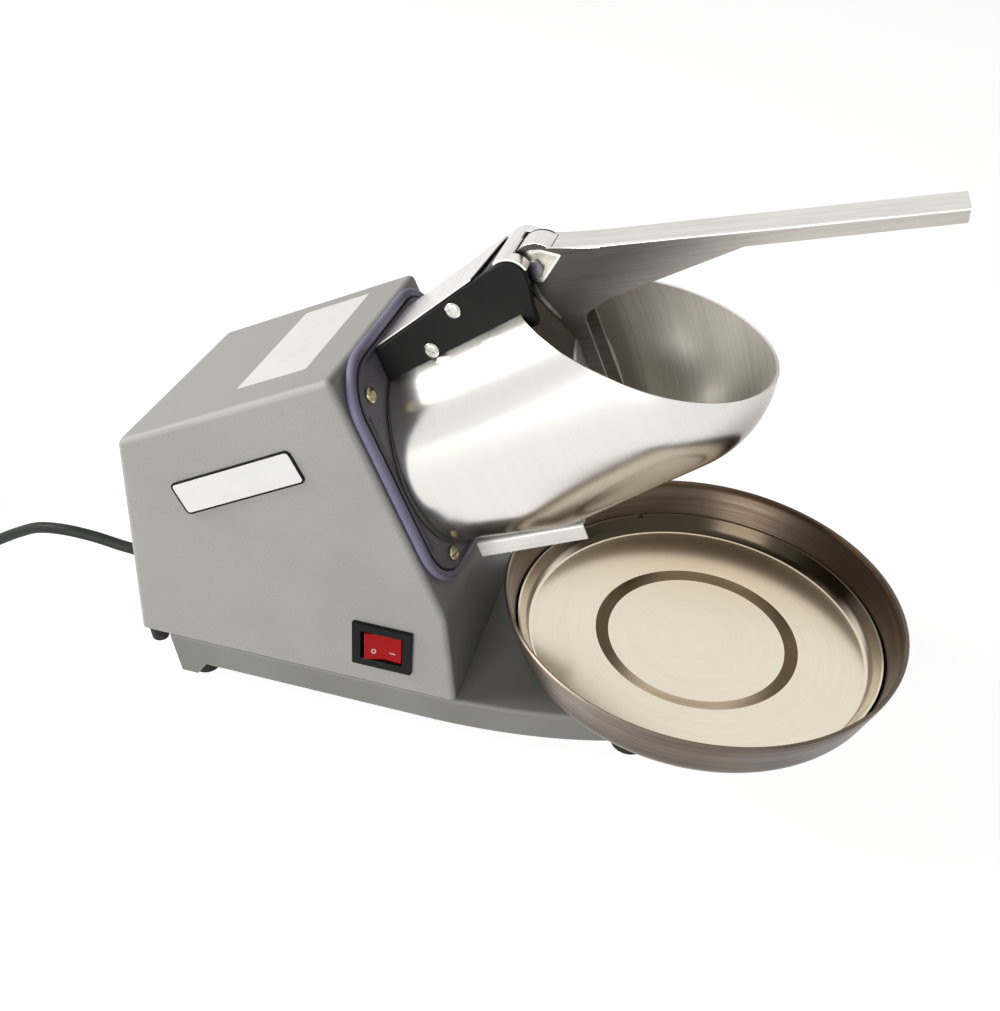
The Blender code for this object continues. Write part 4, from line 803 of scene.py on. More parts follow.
# %% Casing
HALF_WIDTH = 0.06625
CASE_BOTTOM = 0.0303
CASE_SIDE = [(0.192, CASE_BOTTOM), (0.184, 0.087), (0.119, 0.222), (0.0, 0.160)]
casing = block("casing", from_rear(0, -HALF_WIDTH, CASE_BOTTOM), from_rear(0.192, HALF_WIDTH, 0.222))
for (x1, z1), (x2, z2) in zip(CASE_SIDE, CASE_SIDE[1:]):
    trim(casing, from_rear(x1, 0, z1), Vector((z2 - z1, 0, x1 - x2)).normalized())
soften(casing, 0.0036, 6, lambda place, way: place.z > CASE_BOTTOM + 0.001)
drop(casing, lambda place, way: way.z < -0.9)
sheet(casing, 0.0014)
print("casing folded:", len(casing.data.polygons), "faces")

# %% [markdown]
# Holes come last, cut with Boolean tools: the switch and motor openings, the hole for the lead, and
# two rows of rounded air slots in the rear wall, copied from one slot.

# %% Openings in the casing
cut(casing, block("switch_tool", from_rear(0.1353, -HALF_WIDTH - 0.01, 0.0475),
                  from_rear(0.1627, -HALF_WIDTH + 0.01, 0.0705)))
cut(casing, to_drive(rod("spigot_tool", 0.030, -0.01, 0.01, "X")))
cut(casing, rod("lead_tool", 0.0060, -0.01, 0.01, "X", 32, from_rear(0, -0.020, 0.0455)))
slot_tool = block("slot_tool", from_rear(-0.01, 0.014, 0.090), from_rear(0.01, 0.046, 0.0935))
soften(slot_tool, 0.0016, 4, lambda place, way: abs(way.x) > 0.9)
for row in range(5):
    for side in (0, -0.060):
        tool = copy_of(slot_tool, "slot_copy")
        tool.location = (0, side, row * 0.010)
        cut(casing, tool)
bpy.data.objects.remove(slot_tool)
finish(casing, "casing", [CASE_GREY], "base", ["casing_shell"], keep_normals=True)

# %% [markdown]
# The base is a pressed sheet as well. Seen from above it is straight at the sides and runs out in a
# long half ellipse under the tray, so it starts as a stretched cylinder of which one half is kept and
# pulled back. Two legs hang down at the rear, and the rest of the skirt is shorter.

# %% Base
rest()
bpy.ops.mesh.primitive_cylinder_add(vertices=160, radius=1, depth=0.027, location=from_rear(0.175, 0, 0.0165))
base = name_it(bpy.context.object, "base")
base.scale = (0.165, HALF_WIDTH, 1)
settle(base)
trim(base, from_rear(0.175, 0, 0), Vector((-1, 0, 0)))
pick(base, "FACE", lambda place, way: way.x < -0.9)
bpy.ops.mesh.extrude_region_move(TRANSFORM_OT_translate={"value": (-0.157, 0, 0)})
rest()
trim(base, from_rear(0.018, 0, 0.030), Vector((-0.027, 0, -0.006)).normalized())
skirt_tool = block("skirt_tool", from_rear(0.030, -0.08, -0.02), from_rear(0.36, 0.08, 0.012))
trim(skirt_tool, from_rear(0.034, 0, 0.003), Vector((-0.009, 0, 0.006)).normalized())
cut(base, skirt_tool)
soften(base, 0.0024, 5, lambda place, way: place.z > 0.0299 and place.x > REAR + 0.0185)
drop(base, lambda place, way: way.z < -0.9 or (way.x < -0.8 and place.x < REAR + 0.03))
sheet(base, 0.0016)
finish(base, "base", [BASE_GREY], "base", ["base_frame"], keep_normals=True)

# %% [markdown]
# Round rubber feet carry the base. The front pair has a wide flange below a slim stem. One profile is
# turned for each pair and copied to the other side.

# %% Feet and rear bumpers
FEET = (("foot_rear", 0.034, 0.05515, [(0, 0.0281), (0.008, 0.0281), (0.008, 0), (0, 0)], [(2, 0.0015, 3)]),
        ("foot_front", 0.290, None, [(0, 0.0281), (0.0075, 0.0281), (0.0075, 0.0090), (0.011, 0.0090), (0.011, 0),
                                     (0, 0)], [(4, 0.0015, 3), (3, 0.001, 3)]))
for name, x, across, profile, corners in FEET:
    if across is None:
        across = HALF_WIDTH * math.sqrt(1 - ((x - 0.175) / 0.165) ** 2) - 0.0075 - 0.0015 - 0.0016
    foot = turned(name, profile, corners, 48, False)
    for side, sign in (("left", 1), ("right", -1)):
        made = copy_of(foot, name + "_" + side)
        made.location = from_rear(x, sign * across, 0)
        settle(made)
        finish(made, f"{name}_pad_{side}", [RUBBER_BLACK], "base", [f"{name}_{side}"])
    bpy.data.objects.remove(foot)
bumper = turned("bumper", [(0, 0.030), (0.006, 0.030), (0.0048, 0.020), (0, 0.020)], [(2, 0.0012, 3)], 40, False)
for side, sign in (("left", 1), ("right", -1)):
    made = copy_of(bumper, "bumper_" + side)
    made.location = from_rear(0.0085, sign * (HALF_WIDTH - 0.006), 0)
    settle(made)
    finish(made, f"bumper_pad_{side}", [RUBBER_BLACK], "base", [f"rear_bumper_{side}"])
bpy.data.objects.remove(bumper)

# %% [markdown]
# The front casting closes the slanted face and carries the hopper. A cube gets four large round
# corners, a step is inset all round, and its rim is rounded like a real casting.

# %% Front casting
plate = block("plate", (0.0003, -0.0582, -0.0570), (0.0063, 0.0582, 0.0713))
soften(plate, 0.0240, 14, lambda place, way: abs(way.x) > 0.9)
pick(plate, "FACE", lambda place, way: way.x > 0.9)
bpy.ops.mesh.inset(thickness=0.0016, depth=0)
bpy.ops.mesh.inset(thickness=0.0010, depth=0.0)
rest()
soften(plate, 0.0011, 4, lambda place, way: place.x > 0.0062 and
       (abs(place.y) > 0.0575 or place.z < -0.0563 or place.z > 0.0706 or math.hypot(
           abs(place.y) - 0.0342, place.z - (0.0473 if place.z > 0 else -0.0330)) > 0.0236))
finish(to_drive(plate), "front_casting", [SLATE], "base", ["front_plate"])

# %% [markdown]
# A violet-grey rubber bead runs round the casting. A plane's corners are rounded with a point bevel,
# its outline becomes a curve with a round section, and the curve becomes a mesh.

# %% Seal bead
rest()
bpy.ops.mesh.primitive_plane_add(size=1, location=(0, 0, 0))
seal = name_it(bpy.context.object, "seal")
seal.scale = (0.0612 * 2, 0.0643 * 2 + 0.0057, 1)
settle(seal)
pick(seal, "VERT", everything)
bpy.ops.mesh.bevel(offset=0.0270, segments=16, affect="VERTICES")
bpy.ops.mesh.delete(type="ONLY_FACE")
rest()
only(seal)
bpy.ops.object.convert(target="CURVE")
seal.data.bevel_depth = 0.0027
seal.data.bevel_resolution = 6
bpy.ops.object.convert(target="MESH")
seal.matrix_world = (Matrix.Translation((0.0030, 0, 0.00715)) @ Matrix.Rotation(math.pi / 2, 4, "Y")
                     @ Matrix.Rotation(math.pi / 2, 4, "Z"))
settle(seal)
finish(to_drive(seal), "seal_bead", [SEAL_VIOLET], "base", ["front_seal"])

# %% [markdown]
# The casting is held by slotted pan-head screws; the bright washers under them are not modelled. One screw is turned,
# its slot is cut, and it is copied to the four corners, each turned a little differently.

# %% Screws of the casting
def pan_screw(name, radius, height, slot_width):
    head = turned(name, [(0, 0), (radius, 0), (radius, height * 0.55), (radius * 0.62, height), (0, height)],
                  [(2, height * 0.3, 4), (3, height * 0.4, 3)], 40, False)
    cut(head, block("slot", (-radius * 2, -slot_width / 2, height * 0.5), (radius * 2, slot_width / 2, height * 2)))
    return head


SCREWS = (("upper_left", 0.0470, 0.0560, 20), ("upper_right", -0.0470, 0.0560, 65),
          ("lower_left", 0.0400, -0.0480, -30), ("lower_right", -0.0400, -0.0480, 80))
screw = pan_screw("screw", 0.0042, 0.0021, 0.0009)
for place, across, rise, turn in SCREWS:
    made = copy_of(screw, "screw_" + place)
    made.matrix_world = (Matrix.Translation((0.0066, across, rise)) @ Matrix.Rotation(math.pi / 2, 4, "Y")
                         @ Matrix.Rotation(math.radians(turn), 4, "Z"))
    settle(made)
    finish(to_drive(made), "casting_screw_" + place, [PLATED_BRASS], "base", ["plate_screw_" + place])
bpy.data.objects.remove(screw)

# %% [markdown]
# The hopper is pressed from bright sheet: a round barrel at the rear that swells into a deep scoop.
# Its form is the skin stretched over two balls and a drum, which is what a convex hull gives. A fine
# remesh and a little smoothing turn that skin into even quads for clean reflections. Then it is cut
# at the rear and at the mouth, and Solidify makes the sheet.

# %% Hopper
MOUTH_X, MOUTH_Z, MOUTH_SLOPE = 0.270, 0.2440, -0.140
hopper = rod("hopper", 0.0540, -0.014, 0.0202, "X", 192, (0, 0, -0.0010))
balls = []
for radius, out, rise in ((0.0520, 0.0650, -0.0070), (0.0610, 0.1390, 0.0225)):
    rest()
    bpy.ops.mesh.primitive_uv_sphere_add(segments=160, ring_count=80, radius=radius, location=(out, 0, rise))
    settle(bpy.context.object)
    balls.append(bpy.context.object)
only(hopper)
for ball in balls:
    ball.select_set(True)
bpy.ops.object.join()
pick(hopper, "VERT", everything)
bpy.ops.mesh.convex_hull()
rest()
only(hopper)
hopper.data.remesh_voxel_size = 0.0017
bpy.ops.object.voxel_remesh()
shape(hopper, "SMOOTH", factor=0.5, iterations=14)
print("hopper form:", len(hopper.data.polygons), "faces")

# %% [markdown]
# The mouth plane is nearly level, and falls a little towards the front. The rear lip has a notch that
# lets the lever's arms swing through, and the barrel has a slot below, where the snow falls out.

# %% Hopper: cuts, sheet and lip
to_drive(hopper)
rear_way = TO_DRIVE.to_3x3() @ Vector((-1, 0, 0))
trim(hopper, TO_DRIVE @ Vector((0.0082, 0, 0)), rear_way, False)
trim(hopper, from_rear(MOUTH_X, 0, MOUTH_Z), Vector((-MOUTH_SLOPE, 0, 1)).normalized(), False)
hopper.data.materials.append(HOPPER_OUTSIDE)
hopper.data.materials.append(HOPPER_INSIDE)
sheet(hopper, 0.0015, material_offset=1)
cut(hopper, to_drive(block("notch_tool", (0.0860, -0.0122, 0.0450), (0.1067, 0.0122, 0.0856))))
cut(hopper, to_drive(block("outlet_tool", (0.0081, -0.022, -0.080), (0.0166, 0.022, -0.020))))
finish(hopper, "hopper_bowl", [], "base", ["hopper"], 40, True)

# %% [markdown]
# Behind the barrel's edge sits a clamping ring with a softened rim. Its dark grey is painted shade, the dark line round
# the barrel's edge.

# %% Clamping ring
ring_piece = turned("ring", [(0.0565, 0.0066), (0.0565, 0.0079), (0.0511, 0.0079), (0.0511, 0.0066)],
                    [(1, 0.0006, 3)], 160)
ring_piece.rotation_euler = (0, math.pi / 2, 0)
settle(ring_piece)
finish(to_drive(ring_piece), "clamping_ring", [SHADOW_GREY], "base", ["hopper_ring"])

# %% [markdown]
# Two black cheeks carry the hinge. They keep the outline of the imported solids, which are cut to the
# hopper's skin, and get rounded edges. Each has two small bright screws.

# %% Hinge cheeks and their screws
for side in ("left", "right"):
    cheek = solid_copy("hinge_cheek_" + side)
    round_edges(cheek, 0.0009, 3, 50)
    finish(cheek, "cheek_" + side, [CHEEK_BLACK], "base", ["hinge_cheek_" + side])
small_screw = turned("small_screw", [(0, 0), (0.0042, 0), (0.0042, 0.0006), (0.0030, 0.0014), (0, 0.0014)],
                     [(2, 0.0003, 2), (3, 0.0005, 3)], 40, False)
cross = block("cross", (-0.0022, -0.0004, 0.0006), (0.0022, 0.0004, 0.01))
cut(small_screw, cross)
cut(small_screw, block("cross", (-0.0004, -0.0022, 0.0006), (0.0004, 0.0022, 0.01)))
for place, out, rise in (("front", 0.0559, 0.0800), ("rear", 0.0364, 0.0625)):
    for side, sign in (("left", 1), ("right", -1)):
        made = copy_of(small_screw, f"cheek_screw_{place}_{side}_head")
        made.matrix_world = (Matrix.Translation((out, sign * 0.0243, rise))
                             @ Matrix.Rotation(-sign * math.pi / 2, 4, "X") @ Matrix.Rotation(0.5 + out * 9, 4, "Z"))
        settle(made)
        finish(to_drive(made), f"cheek_screw_head_{place}_{side}", [BRIGHT_STEEL], "base",
               [f"cheek_screw_{place}_{side}"])
bpy.data.objects.remove(small_screw)

# %% [markdown]
# A bracket joins the cheeks and holds the hinge pin. Its dark grey is painted shade, for the gap at the hood's slanting
# end. A bright folded hood lies on top of it and of the cheeks. It ends in a slanting gap, and in front of the gap a
# rolled roof follows the cheeks' round eyes. A rolled tongue between the lever's flanges carries the roof's line over
# the pivot. All three are drawn from the side and pulled across, and the first two are cut at the slant.

# %% Hinge bracket, hood and roof
bracket = solid_copy("hinge_cover")
round_edges(bracket, 0.0008, 3, 40)
finish(bracket, "hinge_bracket", [SHADOW_GREY], "base", ["hinge_cover"])


def bent_sheet(name, line, half_width, thickness):
    """A sheet across the machine, from its side view line of (out, up), thickened upwards."""
    count = len(line)
    piece = drawn(name, [(out, -half_width, rise) for out, rise in line], list(zip(range(count), range(1, count))))
    pull(piece, "EDGE", 2 * half_width)
    if sum(face.normal.z for face in piece.data.polygons) < 0:
        piece.data.flip_normals()
    shape(piece, "SOLIDIFY", thickness=thickness, offset=1, use_even_offset=True)
    return piece


EYE_OUT, EYE_UP, EYE_RADIUS = 0.0880, 0.0865, 0.0098
HOOD_HALF = 0.0225
hood = bent_sheet("hood", [(0.0072, 0.0700), (0.0400, 0.0811), (0.0795, 0.0945)], HOOD_HALF, 0.0012)
slant = Vector((0.045, -0.009, 0)).normalized()
trim(hood, Vector((0.0745, 0, 0.09)), slant)
round_edges(hood, 0.0005, 3, 50)
finish(to_drive(hood), "hinge_hood", [COVER_STEEL], "base")
arc = [math.radians(145 - 130 * step / 24) for step in range(25)]
roof = bent_sheet("roof", [(EYE_OUT + (EYE_RADIUS + 0.0003) * math.cos(angle),
                            EYE_UP + (EYE_RADIUS + 0.0003) * math.sin(angle)) for angle in arc], HOOD_HALF, 0.0012)
trim(roof, Vector((0.0815, 0, 0.09)), Vector((-0.045, -0.0042, 0)).normalized())
cut(roof, block("ears_tool", (0.0918, -0.0142, 0.0800), (0.1100, 0.0142, 0.1100)))
round_edges(roof, 0.0004, 3, 50)
finish(to_drive(roof), "hinge_roof", [COVER_STEEL], "base")
arc = [math.radians(128 - 95 * step / 18) for step in range(19)]
tongue = bent_sheet("tongue", [(0.0987 + 0.0108 * math.cos(angle), 0.0856 + 0.0108 * math.sin(angle))
                               for angle in arc], 0.0088, 0.0010)
round_edges(tongue, 0.0003, 2, 50)
finish(to_drive(tongue), "hinge_tongue", [COVER_STEEL], "base")

# %% [markdown]
# The hinge pin is a dark bolt. A turned shank and a hexagon head are joined, and the nut is a hexagon
# with a bore.

# %% Hinge bolt and nut
bolt = turned("bolt", [(0, 0.0117), (0.0030, 0.0117), (0.0030, -0.0110), (0, -0.0110)], [(1, 0.0004, 2)], 40, False)
head = rod("head", 0.0052, -0.0136, -0.0109, "Z", 6)
soften(head, 0.0004, 2, lambda place, way: abs(way.z) < 0.5 or place.z < -0.0130)
cut(bolt, head, "UNION")
bolt.rotation_euler = (-math.pi / 2, math.radians(12), 0)
settle(bolt)
bolt.location = PIVOT
settle(bolt)
finish(bolt, "hinge_bolt", [DARK_ZINC], "base", ["hinge_pin"])
nut = rod("nut", 0.0052, 0.0110, 0.0136, "Y", 6)
soften(nut, 0.0004, 2, lambda place, way: abs(way.y) < 0.5)
cut(nut, rod("bore", 0.0033, 0, 0.02, "Y", 32))
nut.location = PIVOT
settle(nut)
finish(nut, "hinge_nut_finish", [DARK_ZINC], "base", ["hinge_nut"])

# %% [markdown]
# On the lever's near flange a thin pressed patch frames the bolt. Its bright edge is a painted highlight: the larger
# sheet below has a brighter finish than the smaller one on it.
# Two flat sheets of unlike size lie on each other. Their corners are rounded before they get thickness.

# %% Patch round the bolt
NEAR_FLANGE = -0.01075


def flat_sheet(name, places, depth, rounding):
    """A thin sheet on the lever's near flange, from its outline seen from the side."""
    piece = drawn(name, [(place.x, NEAR_FLANGE, place.z) for place in places], [], [list(range(len(places)))])
    pick(piece, "VERT", everything)
    bpy.ops.mesh.bevel(offset=rounding, segments=4, affect="VERTICES")
    rest()
    pull(piece, "FACE", -depth)
    return piece


patch_line = [from_rear(x, 0, z) for x, z in ((0.1976, 0.2786), (0.1974, 0.2730), (0.2000, 0.2684), (0.2028, 0.2660),
                                              (0.2090, 0.2667), (0.2126, 0.2740), (0.2164, 0.2822), (0.2060, 0.2830),
                                              (0.2006, 0.2818))]
patch_centre = sum(patch_line, Vector()) / len(patch_line)
# The larger sheet's brighter finish round the darker inner one is a painted highlight.
finish(flat_sheet("patch", patch_line, 0.0005, 0.0010), "hinge_patch", [COVER_STEEL], "lever")
inner_line = [patch_centre + (place - patch_centre) * 0.84 for place in patch_line]
finish(flat_sheet("patch_inner", inner_line, 0.0007, 0.0009), "hinge_patch_inner", [HINGE_STEEL], "lever")

# %% [markdown]
# The lever is a folded channel. Its top strip is narrow and straight, and its two flanges deepen
# towards the hinge and hang into the hopper as arms. The side outline is drawn once and pulled across,
# the faces that a channel doesn't have are removed, the folds are rounded, and Solidify makes the sheet.
# Over the pivot the top strip is cut away, so that the lever swings clear of the hinge's tongue.

# %% Lever
def lever_outline():
    """Side outline of the channel, clockwise from the nose over the hinge."""
    tip = from_rear(0.391, 0, 0.336)
    points = [PIVOT + 0.0117 * Vector((math.cos(math.radians(angle)), 0, math.sin(math.radians(angle))))
              for angle in range(140, 60, -12)]
    points += [from_rear(0.2335, 0, 0.2905), tip, tip + Vector((0.0006, 0, -0.0074)),
               from_rear(0.3000, 0, 0.3012), from_rear(0.2420, 0, 0.2640)]
    arm = [(0.1185, 0.0575), (0.1151, 0.0557), (0.1137, 0.0520), (0.1137, -0.0020), (0.1063, -0.0020),
           (0.1063, 0.0430), (0.1014, 0.0547), (0.0978, 0.0624), (0.0946, 0.0696), (0.0933, 0.0714), (0.0926, 0.0790)]
    points += [TO_DRIVE @ Vector((out, 0, rise)) for out, rise in arm]
    for step in range(7):
        angle = math.radians(-114 - 41 * step / 6)
        points.append(PIVOT + 0.0080 * Vector((math.cos(angle), 0, math.sin(angle))))
    return points


outline = lever_outline()
LEVER_HALF = 0.0107
lever = drawn("lever", [(point.x, -LEVER_HALF, point.z) for point in outline], [], [list(range(len(outline)))])
pull(lever, "FACE", 2 * LEVER_HALF)
lever_slope = (outline[8] - outline[7]).normalized()
drop(lever, lambda place, way: abs(way.y) < 0.5 and not (way.z > 0.6 and place.x > PIVOT.x + 0.006))
soften(lever, 0.0019, 5, lambda place, way: abs(abs(place.y) - LEVER_HALF) < 0.0001 and way.x ** 2 > 0.3
       and place.z > PIVOT.z + 0.0078 and (place - outline[7]).dot(Vector((-lever_slope.z, 0, lever_slope.x))) > -0.0045)
# The flanges take the darker copy of the steel, which is painted shade; the top strip keeps the bright one.
lever.data.materials.append(LEVER_STEEL)
lever.data.materials.append(FLANGE_PAINTED_SHADE)
for face in lever.data.polygons:
    face.material_index = 1 if abs(face.normal.y) > 0.9 else 0
sheet(lever, 0.0015)
cut(lever, rod("hinge_tool", 0.0033, -0.02, 0.02, "Y", 48, PIVOT))
cut(lever, block("web_tool", PIVOT + Vector((-0.02, -0.0090, -0.004)), PIVOT + Vector((0.0070, 0.0090, 0.02))))
finish(lever, "lever_channel", [], "lever", ["lever_arm"], 35, True)

# %% [markdown]
# The near arm's rear edge is folded outwards. The fold is a narrow flat sheet that follows the arm.

# %% Folded edge of the near arm
fold_line = [TO_DRIVE @ Vector((out, 0, rise)) for out, rise in (
    (0.0939, 0.0717), (0.0933, 0.0778), (0.0962, 0.0778), (0.0968, 0.0720), (0.0998, 0.0650), (0.1030, 0.0575),
    (0.1018, 0.0572), (0.0985, 0.0634), (0.0953, 0.0702))]
finish(flat_sheet("fold", fold_line, 0.0006, 0.0003), "arm_fold", [HINGE_STEEL], "lever")

# %% [markdown]
# The presser is a round plate on the arms. Its rim is rounded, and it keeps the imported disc's place.

# %% Presser
presser = rod("presser", 0.0380, 0.1040, 0.1060, "X", 96, (0, 0, 0.0080))
soften(presser, 0.0007, 3, lambda place, way: abs(way.x) < 0.5 and math.hypot(place.y, place.z - 0.008) > 0.037)
finish(to_drive(presser), "presser_disc", [HOPPER_INSIDE], "lever", ["presser_plate"])

# %% [markdown]
# The snow guide is a short bright channel below the hopper. A cube loses its two ends and its
# underside, its long edges are rounded, and Solidify makes the sheet.

# %% Snow guide
guide = block("guide", (0.0085, -0.0150, -0.0693), (0.0730, 0.0150, -0.0598))
soften(guide, 0.0018, 5, lambda place, way: abs(way.x) > 0.9 and place.z > -0.061)
drop(guide, lambda place, way: abs(way.x) > 0.9 or way.z < -0.9)
sheet(guide, 0.0012)
finish(to_drive(guide), "guide_channel", [GUIDE_STEEL], "base", ["snow_guide"], 35, True)

# %% [markdown]
# The tray is a spun pan with a rolled rim. It is turned from a profile that runs along its outside,
# over the rim and back along its inside.

# %% Tray pan
pan = turned("pan", [(0, 0.0545), (0.0950, 0.0545), (0.1000, 0.0567), (0.1045, 0.0620), (0.1125, 0.0850),
                     (0.1130, 0.0880), (0.1120, 0.0890), (0.1109, 0.0880), (0.1111, 0.0850), (0.1032, 0.0630),
                     (0.0989, 0.0577), (0.0944, 0.0556), (0, 0.0556)],
             [(11, 0.0020, 4), (10, 0.0020, 4), (9, 0.0020, 4), (8, 0.0008, 3), (6, 0.0005, 4), (4, 0.0008, 3),
              (3, 0.0024, 4), (2, 0.0024, 4), (1, 0.0020, 4)], 192, False)
pan.location = TRAY_CENTRE
settle(pan)
finish(pan, "pan_bowl", [PAN_STEEL], "tray", ["tray_pan"], 30)

# %% [markdown]
# A bright plate lies in the pan and lifts out. It has a round recess and a low wall with three small nicks in its edge.
# Its cream tint and the tan towards the far side are painted reflection. The recess's ring and the wall have finishes
# of their own, chosen face by face, which are painted shade and reflection: the ring browner and darker at its sides
# and far side, the wall almost black on the far side.

# %% Lift-out plate
FLOOR, LOW, RIM, WIDE, RECESS = 0.0585, 0.0569, 0.0685, 0.1038, 0.0578
plate_profile = [(0, LOW - 0.0010), (RECESS - 0.0067, LOW - 0.0010), (RECESS, FLOOR - 0.0010),
                 (WIDE - 0.0065, FLOOR - 0.0010), (WIDE - 0.0035, FLOOR + 0.0020), (WIDE, RIM),
                 (WIDE - 0.0010, RIM), (WIDE - 0.0046, FLOOR + 0.0030), (WIDE - 0.0070, FLOOR), (RECESS - 0.0002, FLOOR),
                 (RECESS - 0.0069, LOW), (0, LOW)]
insert = turned("insert", plate_profile, [(10, 0.0012, 4), (9, 0.0012, 4), (8, 0.0012, 5), (7, 0.0012, 4),
                                          (4, 0.0012, 4), (3, 0.0012, 4), (2, 0.0010, 3), (1, 0.0010, 3)], 192, False)
insert.data.materials.append(INSERT_STEEL)
insert.data.materials.append(RECESS_PAINTED_SHADE)
insert.data.materials.append(LIP_PAINTED_SHADE)
# The ring and the wall faces take the finishes with painted shade and reflection.
for face in insert.data.polygons:
    away = math.hypot(face.center.x, face.center.y)
    lip = away > WIDE - 0.0068 and FLOOR + 0.0004 < face.center.z < RIM - 0.0014
    ring = RECESS - 0.0072 < away < RECESS + 0.0002
    face.material_index = (2 if lip else 1 if ring else 0) if face.normal.z > 0.1 else 0
for angle in (-113, -56, 118):
    nick = block("nick", (0.099, -0.0016, 0.0662), (0.107, 0.0016, 0.08))
    soften(nick, 0.0007, 3, lambda place, way: abs(way.x) > 0.9 and place.z < 0.067)
    nick.rotation_euler = (0, 0, math.radians(angle))
    settle(nick)
    cut(insert, nick)
insert.location = TRAY_CENTRE
settle(insert)
finish(insert, "lift_out_plate", [], "insert", ["tray_insert"], 30)

# %% [markdown]
# The tray stands on a pressed ring with a soft pad, both turned. The ring's dark grey is painted shade under the tray.

# %% Tray stand and pad
stand = turned("stand", [(0.020, 0.0509), (0.0520, 0.0509), (0.0540, 0.0321), (0.0600, 0.0321), (0.0600, 0.0303),
                         (0.0522, 0.0303), (0.0502, 0.0491), (0.020, 0.0491)],
               [(6, 0.0012, 3), (4, 0.0006, 2), (3, 0.0006, 2), (2, 0.0012, 3), (1, 0.0020, 4)], 128)
stand.location = from_rear(0.280, 0, 0)
settle(stand)
finish(stand, "stand_ring", [SHADOW_GREY], "base", ["tray_stand"])
pad = turned("pad", [(0.0480, 0.0542), (0.0480, 0.0512), (0.0380, 0.0512), (0.0380, 0.0542)],
             [(3, 0.0008, 3), (0, 0.0008, 3)], 96)
pad.location = from_rear(0.280, 0, 0)
settle(pad)
finish(pad, "stand_pad", [RUBBER_BLACK], "base", ["tray_pad"])

# %% [markdown]
# The rocker switch sits low in the near side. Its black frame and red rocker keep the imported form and
# get rounded edges. The two marks, a ring and a bar, are the usual signs for off and on.

# %% Switch
frame_piece = solid_copy("switch_bezel")
round_edges(frame_piece, 0.0006, 3, 50)
finish(frame_piece, "switch_frame", [SWITCH_BLACK], "base", ["switch_bezel"])
rocker = solid_copy("switch_rocker")
round_edges(rocker, 0.0007, 4, 30)
finish(rocker, "rocker_red", [ROCKER_RED], "rocker", ["switch_rocker"])


def on_rocker(piece, along, rise):
    """Lays a mark on the rocker's left or right face, a hair above it."""
    lean = math.atan2(0.0017, 0.0105) * (1 if along < 0 else -1)
    depth = -0.0052 - 0.0017 * abs(along) / 0.0105 - 0.00005
    pivot = from_rear(0.149, -HALF_WIDTH - 0.0003 + 0.0045, 0.059)
    piece.matrix_world = (Matrix.Translation(pivot) @ Matrix.Rotation(math.radians(7), 4, "Z")
                          @ Matrix.Translation((along, depth, rise)) @ Matrix.Rotation(lean, 4, "Z")
                          @ Matrix.Rotation(math.pi / 2, 4, "X"))
    settle(piece)


rest()
bpy.ops.mesh.primitive_torus_add(major_radius=0.0011, minor_radius=0.00028, major_segments=48, minor_segments=10)
off_ring = name_it(bpy.context.object, "off_ring")
off_ring.scale = (1, 1.25, 0.5)
settle(off_ring)
on_rocker(off_ring, -0.0052, -0.0030)
finish(off_ring, "mark_off", [MARK_WHITE], "rocker")
on_bar = block("on_bar", (-0.0017, -0.0003, -0.00014), (0.0017, 0.0003, 0.00014))
soften(on_bar, 0.0001, 2, lambda place, way: abs(way.x) > 0.5 or abs(way.y) > 0.5)
on_rocker(on_bar, 0.0052, -0.0030)
finish(on_bar, "mark_on", [MARK_WHITE], "rocker")

# %% [markdown]
# A plain plate fills the maker's place on the side, and a plain white label the one on top. Both stay
# bare, with the thickness, rim and slight sheen of the real things.

# %% Side plate and top label
badge = block("badge", (-0.0390, -0.0100, 0), (0.0390, 0.0100, 0.0010))
soften(badge, 0.0030, 6, lambda place, way: abs(way.z) > 0.9)
badge.data.materials.append(PLATE_PALE)
badge.data.materials.append(SWITCH_BLACK)
pick(badge, "FACE", lambda place, way: way.z > 0.9)
bpy.ops.mesh.inset(thickness=0.0011, depth=0)
rest()
for face in badge.data.polygons:
    centre = face.center
    inner = abs(centre.x) < 0.0001 and abs(centre.y) < 0.0001
    face.material_index = 0 if inner and face.normal.z > 0.9 else 1
badge.rotation_euler = (math.pi / 2, -math.radians(29), 0)
badge.location = from_rear(0.0680, -HALF_WIDTH - 0.0003, 0.1500)
settle(badge)
finish(badge, "bare_side_plate", [], "base", ["side_plate"])
label = block("label", (-0.022, -0.0465, 0), (0.022, 0.0465, 0.00012))
soften(label, 0.0015, 5, lambda place, way: abs(way.z) > 0.9)
top_lean = math.atan2(0.222 - 0.160, 0.119)
label.matrix_world = (Matrix.Translation(from_rear(0.078, 0.0055, 0.160 + 0.078 * math.tan(top_lean)))
                      @ Matrix.Rotation(-top_lean, 4, "Y") @ Matrix.Translation((0, 0, 0.00002)))
settle(label)
finish(label, "bare_top_label", [LABEL_WHITE], "base")

# %% [markdown]
# The lead enters through a tapered rubber strain relief with grooves that let it bend. A loop draws
# one groove after the other, each a little slimmer.

# %% Strain relief
relief_profile = [(0.0039, 0.0003), (0.0075, 0.0003), (0.0075, 0.0030), (0.0062, 0.0036)]
for rib in range(5):
    start = 0.0052 + rib * 0.0040
    wide = 0.0062 - 0.0003 * rib
    relief_profile += [(wide, start), (wide - 0.0009, start + 0.0006), (wide - 0.0009, start + 0.0018),
                       (wide - 0.0001, start + 0.0024)]
relief_profile += [(0.0047, 0.0252), (0.0039, 0.0252)]
relief = turned("relief", relief_profile, [(2, 0.0005, 3)], 48)
relief.matrix_world = Matrix.Translation(from_rear(0, -0.020, 0.0455)) @ Matrix.Rotation(-math.pi / 2, 4, "Y")
settle(relief)
finish(relief, "strain_relief", [RUBBER_BLACK], "base", ["cord_gland"])

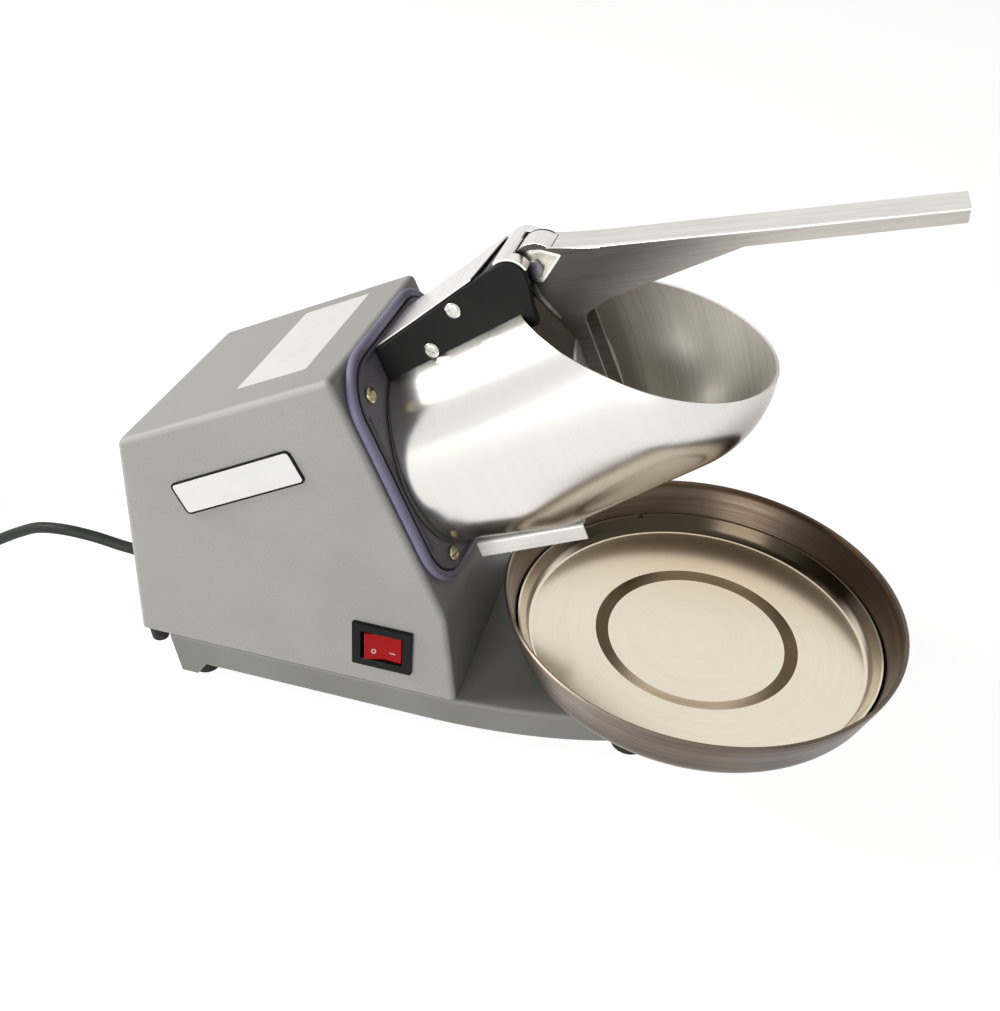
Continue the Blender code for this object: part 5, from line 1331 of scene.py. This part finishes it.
# %% [markdown]
# The lead's plug is a moulded block with two round pins, and a soft strap holds the coil.

# %% Plug, pins and strap
plug_piece = solid_copy("plug_body")
finish(plug_piece, "plug_moulding", [RUBBER_BLACK], "base", ["plug_body"])
for side in ("left", "right"):
    pin = solid_copy("plug_pin_" + side)
    round_edges(pin, 0.0006, 3, 60)
    finish(pin, "plug_pin_finish_" + side, [PLATED_BRASS], "base", ["plug_pin_" + side])
strap_line = [(0.0285, 0.0002), (0.0520, 0.0002), (0.0524, 0.0040), (0.0505, 0.0085), (0.0470, 0.0140),
              (0.0440, 0.0154), (0.0360, 0.0154), (0.0325, 0.0140), (0.0288, 0.0075), (0.0281, 0.0040)]
count = len(strap_line)
strap = drawn("strap", [(-across, -0.0025, rise) for across, rise in strap_line],
              [(number, (number + 1) % count) for number in range(count)])
pull(strap, "EDGE", 0.005)
shape(strap, "SOLIDIFY", thickness=0.0004, offset=0)
strap.location = from_rear(COIL_CENTRE[0], COIL_CENTRE[1], 0)
settle(strap)
finish(strap, "coil_strap", [SWITCH_BLACK], "base")
mains_lead.data.materials.append(CORD_BLACK)

# %% [markdown]
# What lies inside the casing keeps its packed form and only gets finishes: the motor's parts, the
# blade disc with its blades, and the brackets.

# %% Finishes of the parts inside
INSIDE = {"motor_front_bell": CAST_ALLOY, "motor_rear_bell": CAST_ALLOY, "motor_housing": CORE_IRON,
          "motor_core": CORE_IRON, "motor_shaft": BRIGHT_STEEL, "front_bearing": BRIGHT_STEEL,
          "rear_bearing": BRIGHT_STEEL, "cooling_fan": SWITCH_BLACK, "motor_cradle": BRIGHT_STEEL,
          "run_capacitor": BRIGHT_STEEL, "terminal_block": SWITCH_BLACK, "blade_housing": SLATE,
          "blade_disc": BLADE_STEEL, "blade_upper": BLADE_STEEL, "blade_lower": BLADE_STEEL,
          "disc_nut": PLATED_BRASS}
for name, material in INSIDE.items():
    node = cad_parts[name]
    node.data.materials.clear()
    node.data.materials.append(material)
left_over = [name for name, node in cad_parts.items() if not node.hide_render and name not in INSIDE]
print("packed nodes still shown without a new finish:", left_over)

# %% The end
bpy.context.view_layer.update()
